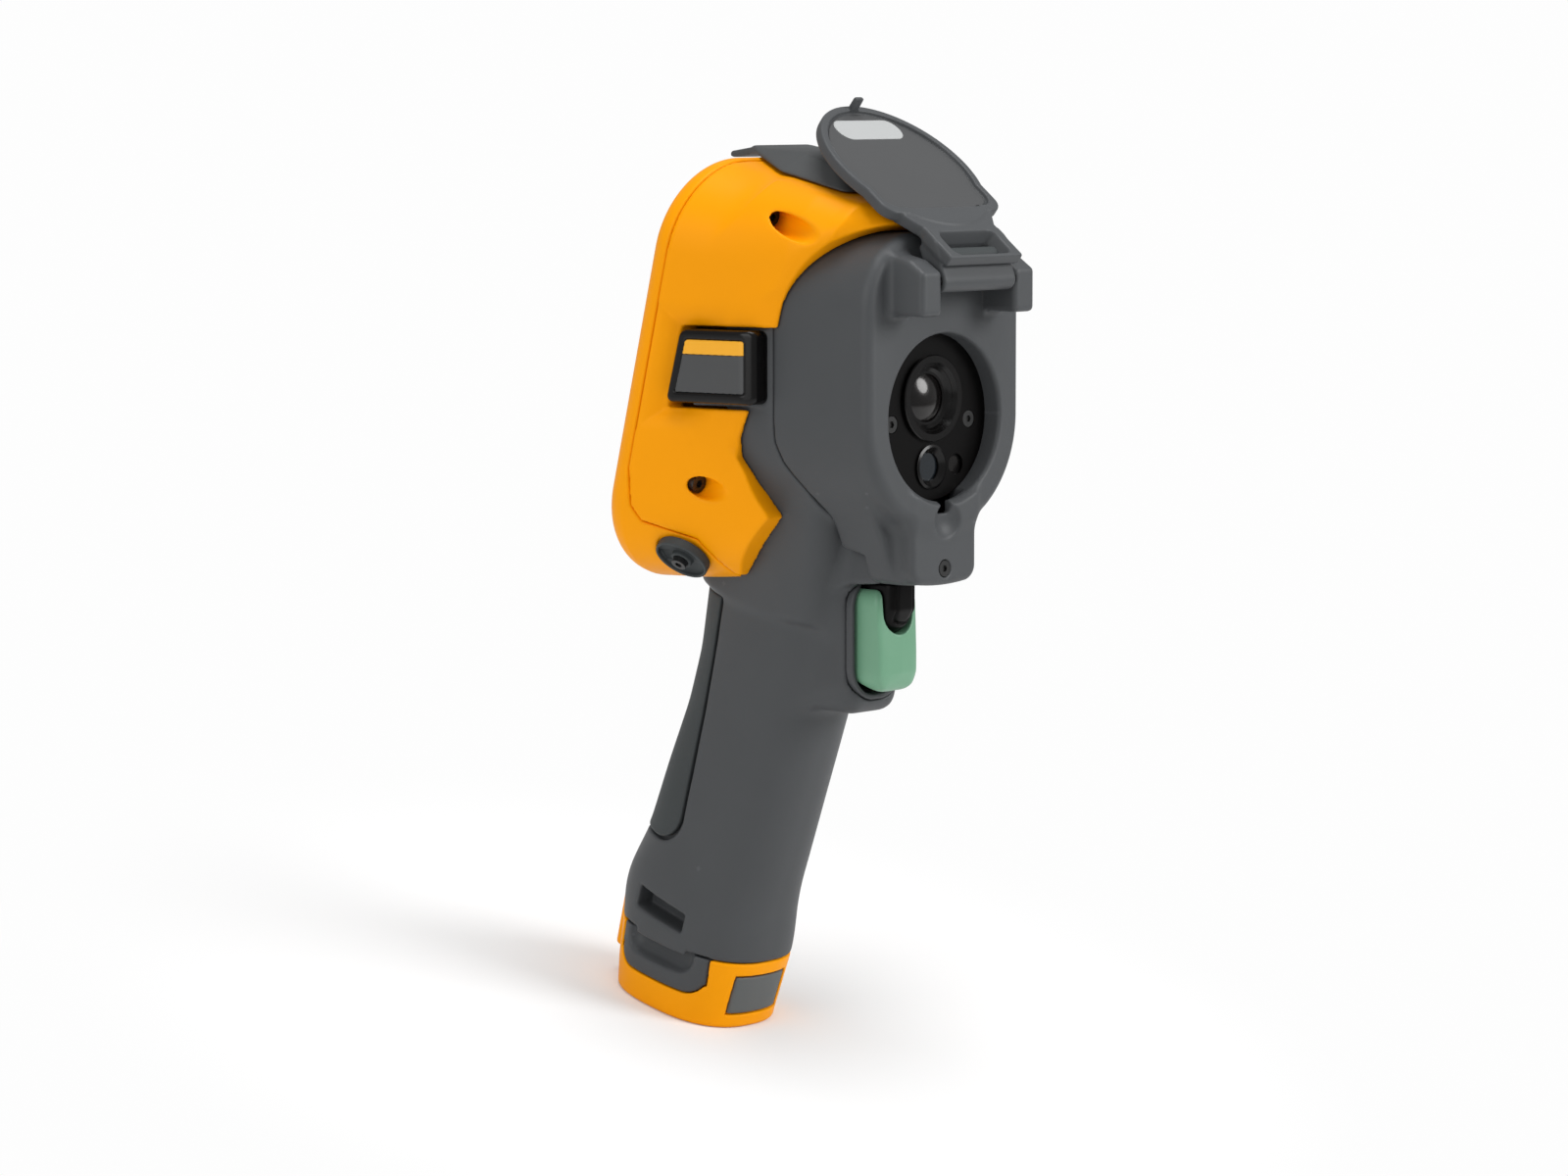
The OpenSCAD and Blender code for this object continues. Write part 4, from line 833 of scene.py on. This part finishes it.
def build_secondary_trigger():
    g = trigger_grid()
    points = []
    for sx in (-1, 1):
        for z in (SECOND_Z + 1, TRIGGER_TOP):
            points += ring_points(3.5, (sx * 2.7, -26, z), "z", 20)
    for r, y in ((SECOND_R - 2.3, -27.5), (SECOND_R - 0.3, -25), (SECOND_R - 0.3, -18)):
        points += ring_points(r, (0, y, SECOND_Z), "y", 24)
    points += block_points((-6.2, -19, SECOND_Z), (6.2, -18, TRIGGER_TOP))
    d = hull(g, points, 0.6)
    panel = smooth_max(np.abs(g.x) - 3.6, -62.5 - g.z, 3.0)
    d = cut(d, np.abs(panel) - 0.28 + np.maximum(-(d + 0.55), 0), 0.4)
    stem = block(g.x, g.y, g.z, (-2, -18.1, -57.6), (2, -11, -53.6), 0.3)
    d = np.minimum(d, stem)
    skin("secondary_trigger_skin", g, d, "secondary_trigger", ["secondary_trigger"],
         MATT_BLACK)


# ---- battery base and latches ----

def base_grid():
    return Grid((-24, -25, -1), (24, 36, 35), 0.45 * COARSE)


def build_base():
    g = base_grid()
    grip = handle(g)
    d = round_max(grip, -g.pz, 1.3)
    front_plate = np.maximum(np.maximum(np.abs(g.x) - 11, span(g.pz, 4.5, 18)), g.py + 10)
    front_plate = np.maximum(front_plate, -(grip + 1.5))
    d = smooth_max(d, g.pz - (BASE_H - GAP), 0.7)
    points = block_points((-9, 24, 8), (9, 25, 33))
    for sx in (-1, 1):
        for z in (8.8, 32.3):
            points += ring_points(3, (sx * 6, 31.2, z), "z")
    d = smooth_min(d, hull(g, points, 0.7), 0.6)
    d = np.minimum(d, np.maximum(pack_area(g), span(g.gz, 6, BASE_H + 3)))
    d = cut(d, np.maximum(pack_area(g, -1.5), BASE_H - g.gz), 0.4)
    latch = latch_area(g, GAP)
    d = cut(d, np.maximum(latch, LATCH_WALL - np.abs(g.x)), 0.5)
    well = np.maximum(np.maximum(latch, 15.5 - g.pz), LATCH_WELL - np.abs(g.x))
    d = cut(d, well, 0.3)
    d = cut(d, front_plate, 0.4)
    skin("battery_base_skin", g, d, "battery", ["battery_base"], YELLOW)
    plate = round_max(np.maximum(np.abs(g.x) - 10.5, span(g.pz, 5, 17.5)), grip + 0.1, 0.6)
    plate = np.maximum(np.maximum(plate, -(grip + 1.35)), g.py + 10)
    skin("base_insert_skin", g, plate, "battery", ["base_insert"], LIGHT_GREY)


def build_latches():
    g = base_grid()
    grip = handle(g)
    for side, name in ((1, "latch_left"), (-1, "latch_right")):
        x = g.x * side
        d = round_max(grip + 0.1, latch_area(g) + 0.05, 0.6)
        inner = 18.6 - 1.7 * np.clip((-8 - g.py) / 2, 0, 1)
        inner = np.minimum(inner, 18.6 - 3.0 * np.clip((g.pz - 16) / 0.8, 0, 1))
        d = np.maximum(np.maximum(d, inner - x), g.pz - 22.2)
        reach = np.clip(g.py, -5, 12.5)
        scoop = np.sqrt((x - 23.5) ** 2 + (g.py - reach) ** 2 + (g.pz - 20.6) ** 2) - 6.2
        d = cut(d, scoop, 0.7)
        skin(name + "_skin", g, d, name, [name], GREY)


# ---- badges and strap anchors ----

def badge_slab(g, top, deep):
    """Between two depths below the badge's outer face, in the lens frame."""
    x = np.abs(g.x)
    face = (x - 44.6 - (g.y + 5.6) * (4.6 / 35.6)) * 0.992
    bevel = (x - 42.9 - (g.y + 7.6) * 0.52) * 0.887
    outer = smooth_max(face, bevel, 0.5) + top
    return smooth_max(outer, -(face + deep), 0.2)


def build_badges():
    g = Grid((-50, -8, 2), (50, 32, 28), 0.34 * COARSE, head_frame)
    band = round_max(span(g.z, 4.0, 26.0), np.maximum(g.py - 17, -7.8 - g.y), 2.4)
    d = round_max(band, badge_slab(g, 0.0, 7.5), 1.3)
    d = np.maximum(d, 36 - np.abs(g.x))
    pocket = round_max(span(g.z, 6.9, 23.1), np.maximum(g.py - 14.4, -4.6 - g.y), 0.8)
    d = cut(d, np.maximum(pocket, badge_slab(g, -2.0, 0.5)), 0.3)
    skin("badge_frame_skin", g, d, "housing", ["badge_frames"], BLACK)
    plate = round_max(span(g.z, 7.1, 22.9), np.maximum(g.py - 14.2, -4.4 - g.y), 0.8)
    plate = smooth_max(plate, badge_slab(g, 0.15, 0.9), 0.12)
    grey = np.maximum(plate, g.z - 18.5)
    skin("badge_label_skin", g, grey, "housing", ["badge_labels"], LABEL)
    stripe = np.maximum(plate, 18.5 - g.z)
    skin("badge_band", g, stripe, "housing", [], BAND)


def build_anchors():
    for side, name in ((1, "left"), (-1, "right")):
        mirror = Matrix.Scale(-1, 4, (1, 0, 0)) if side < 0 else ROW
        g = Grid((-9.5, -9.5, -4.8), (9.5, 9.5, 1.5), 0.25 * COARSE, mirror @ anchor_frame)
        r = np.hypot(g.x, g.y)
        d = round_max(r - ANCHOR_R, span(g.z, -3.9, -0.9), 0.35)
        dish = np.maximum(r - 7.6, -2.3 - 0.1 * (7.6 - r) - g.z)
        d = cut(d, dish, 0.5)
        boss = round_max(r - 3.4, span(g.z, -3, -0.9), 0.4)
        d = smooth_min(d, boss, 0.4)
        d = cut(d, np.maximum(r - 2.4, -1.9 - g.z), 0.3)
        notch = block(g.x, g.y, g.z, (-2.6, 3.0, -3.1), (2.6, 7.2, 3), 0.3)
        d = cut(d, notch, 0.3)
        skin("strap_anchor_" + name, g, d, "housing", ["strap_anchors"] if side > 0 else [],
             RUBBER)


# ---- CAD nodes that stay: finishes and broken edges ----

KEPT = {
    "rear_panel": (RUBBER, 0.5), "lcd_window": (SCREEN, 0.2), "window_gasket": (BLACK, 0.1),
    "lcd_module": (ALLOY, 0.3), "key_left": (GREY, 0.5), "key_middle": (GREY, 0.5),
    "key_right": (GREY, 0.5), "power_button": (GREEN, 0.6), "key_board": (BOARD, 0.1),
    "main_board": (BOARD, 0.1), "speaker": (BLACK, 0.3), "head_screws": (DARK_METAL, 0.2),
    "lens_plate": (MATT_BLACK, 0.3), "ir_lens_ring": (BLACK, 0.15), "ir_lens": (LENS, 0.1),
    "ir_engine": (ALLOY, 0.4), "camera_ring": (BLACK, 0.15), "camera_window": (SCREEN, 0.1),
    "camera_module": (BLACK, 0.3), "laser_window": (LENS, 0.1), "laser_module": (BRASS, 0.2),
    "lens_screws": (DARK_METAL, 0.15), "chin_screw": (DARK_METAL, 0.15),
    "hinge_pin": (STEEL, 0.2), "port_block": (MATT_BLACK, 0.3),
    "anchor_screws": (DARK_METAL, 0.15),
    "trigger_pin": (STEEL, 0.15), "primary_spring": (STEEL, 0.05),
    "secondary_spring": (STEEL, 0.05), "trigger_switches": (BLACK, 0.2),
    "battery_pack": (MATT_BLACK, 0.4), "battery_cells": (CELL, 0.5),
    "latch_spring_left": (STEEL, 0.05), "latch_spring_right": (STEEL, 0.05),
    "contact_block": (MATT_BLACK, 0.3)}


def dress_kept_nodes():
    for name, (look, broken) in KEPT.items():
        piece = nodes[name]
        piece.data.materials.clear()
        piece.data.materials.append(look)
        piece.data.polygons.foreach_set("use_smooth", [True] * len(piece.data.polygons))
        bevel = piece.modifiers.new("broken_edges", "BEVEL")
        bevel.width = broken * MM
        bevel.segments = 2
        bevel.limit_method = "ANGLE"
        bevel.angle_limit = math.radians(38)
        bevel.harden_normals = True


# ---- studio ----

BACKDROP = 0.985        # just below white
FLOOR_HALF = 30
SHADOW_FROM, SHADOW_TO = 0.03, 0.22
CAMERA_AIM = Vector((0, -0.02055, HEAD_TOP * MM * 0.54))
CAMERA_AWAY = 1.5
LAMP_AIM = Vector((0, 0, 0.15))


def build_world(scene):
    """Even light on the object, and near white where the camera looks past it."""
    world = bpy.data.worlds.new("studio")
    scene.world = world
    world.use_nodes = True
    tree = world.node_tree
    background = tree.nodes["Background"]
    path = tree.nodes.new("ShaderNodeLightPath")
    white = tree.nodes.new("ShaderNodeMath")
    white.operation = "MAXIMUM"
    tree.links.new(path.outputs["Is Camera Ray"], white.inputs[0])
    tree.links.new(path.outputs["Is Transmission Ray"], white.inputs[1])
    level = tree.nodes.new("ShaderNodeMapRange")
    level.inputs["To Min"].default_value = 0.36
    level.inputs["To Max"].default_value = BACKDROP
    tree.links.new(white.outputs[0], level.inputs["Value"])
    tree.links.new(level.outputs["Result"], background.inputs["Strength"])
    background.inputs["Color"].default_value = (1, 1, 1, 1)


def floor_paper():
    """Pale paper: the object's shadow near it, the backdrop's level further off."""
    paper = bpy.data.materials.new("floor_paper")
    paper.use_nodes = True
    tree = paper.node_tree
    tree.nodes.remove(tree.nodes["Principled BSDF"])
    out = tree.nodes["Material Output"]
    place = tree.nodes.new("ShaderNodeTexCoord")
    cloud = tree.nodes.new("ShaderNodeTexNoise")
    cloud.inputs["Scale"].default_value = 3
    tree.links.new(place.outputs["Object"], cloud.inputs["Vector"])
    tint = tree.nodes.new("ShaderNodeMix")
    tint.data_type = "RGBA"
    tint.inputs["A"].default_value = (0.74, 0.74, 0.74, 1)
    tint.inputs["B"].default_value = (0.76, 0.76, 0.76, 1)
    tree.links.new(cloud.outputs["Fac"], tint.inputs["Factor"])
    plain = tree.nodes.new("ShaderNodeBsdfDiffuse")
    tree.links.new(tint.outputs["Result"], plain.inputs["Color"])
    seen = tree.nodes.new("ShaderNodeBsdfDiffuse")
    seen.inputs["Color"].default_value = (0.82, 0.82, 0.82, 1)
    glow = tree.nodes.new("ShaderNodeEmission")
    glow.inputs["Color"].default_value = (1, 1, 1, 1)
    glow.inputs["Strength"].default_value = 0.08
    near = tree.nodes.new("ShaderNodeAddShader")
    tree.links.new(seen.outputs[0], near.inputs[0])
    tree.links.new(glow.outputs[0], near.inputs[1])
    far = tree.nodes.new("ShaderNodeEmission")
    far.inputs["Color"].default_value = (1, 1, 1, 1)
    far.inputs["Strength"].default_value = BACKDROP
    reach = tree.nodes.new("ShaderNodeVectorMath")
    reach.operation = "LENGTH"
    tree.links.new(place.outputs["Object"], reach.inputs[0])
    away = tree.nodes.new("ShaderNodeMapRange")
    away.interpolation_type = "SMOOTHSTEP"
    away.inputs["From Min"].default_value = SHADOW_FROM
    away.inputs["From Max"].default_value = SHADOW_TO
    tree.links.new(reach.outputs["Value"], away.inputs["Value"])
    both = tree.nodes.new("ShaderNodeMixShader")
    tree.links.new(away.outputs["Result"], both.inputs["Fac"])
    tree.links.new(near.outputs[0], both.inputs[1])
    tree.links.new(far.outputs[0], both.inputs[2])
    choose = tree.nodes.new("ShaderNodeMixShader")
    path = tree.nodes.new("ShaderNodeLightPath")
    tree.links.new(path.outputs["Is Camera Ray"], choose.inputs["Fac"])
    tree.links.new(plain.outputs[0], choose.inputs[1])
    tree.links.new(both.outputs[0], choose.inputs[2])
    tree.links.new(choose.outputs[0], out.inputs["Surface"])
    return paper


def build_floor(scene):
    mesh = bpy.data.meshes.new("floor")
    h = FLOOR_HALF
    mesh.from_pydata([(-h, -h, 0), (h, -h, 0), (h, h, 0), (-h, h, 0)], [], [(0, 1, 2, 3)])
    mesh.materials.append(floor_paper())
    floor = bpy.data.objects.new("floor", mesh)
    scene.collection.objects.link(floor)


def lamp(scene, name, where, size, energy):
    data = bpy.data.lights.new(name, "AREA")
    data.shape = "DISK"
    data.size = size
    data.energy = energy
    light = bpy.data.objects.new(name, data)
    light.location = where
    light.rotation_euler = (LAMP_AIM - Vector(where)).to_track_quat("-Z", "Y").to_euler()
    scene.collection.objects.link(light)


def build_camera(scene):
    """Camera at the photo's viewing angle."""
    camera = bpy.data.cameras.new("camera")
    camera.lens = 113.4
    camera.sensor_width = 36
    camera.shift_x = -0.03125
    camera.clip_start = 0.05
    camera.clip_end = 60
    eye = bpy.data.objects.new("camera", camera)
    right = Vector((0.66913, -0.72107, 0.17978))
    up = Vector((0.07768, 0.30846, 0.94805))
    back = Vector((-0.73907, -0.62041, 0.26241))
    place = CAMERA_AIM + CAMERA_AWAY * back
    turn = Matrix((right, up, back)).transposed().to_4x4()
    eye.matrix_world = Matrix.Translation(place) @ turn
    scene.collection.objects.link(eye)
    scene.camera = eye


def build_studio():
    scene = bpy.context.scene
    scene.view_settings.view_transform = "Standard"
    build_world(scene)
    build_floor(scene)
    lamp(scene, "key", (0.75, -1.25, 1.15), 0.9, 19.5)
    lamp(scene, "fill", (-1.45, -0.1, 0.7), 1.1, 7)
    lamp(scene, "top", (-0.1, 0.1, 1.7), 1.0, 15)
    build_camera(scene)


build_studio()
build_rear_frame()
build_front_shell()
build_barrel()
build_cover()
build_door()
build_handle()
build_pad()
build_bezel()
build_primary_trigger()
build_secondary_trigger()
build_base()
build_latches()
build_badges()
build_anchors()
dress_kept_nodes()
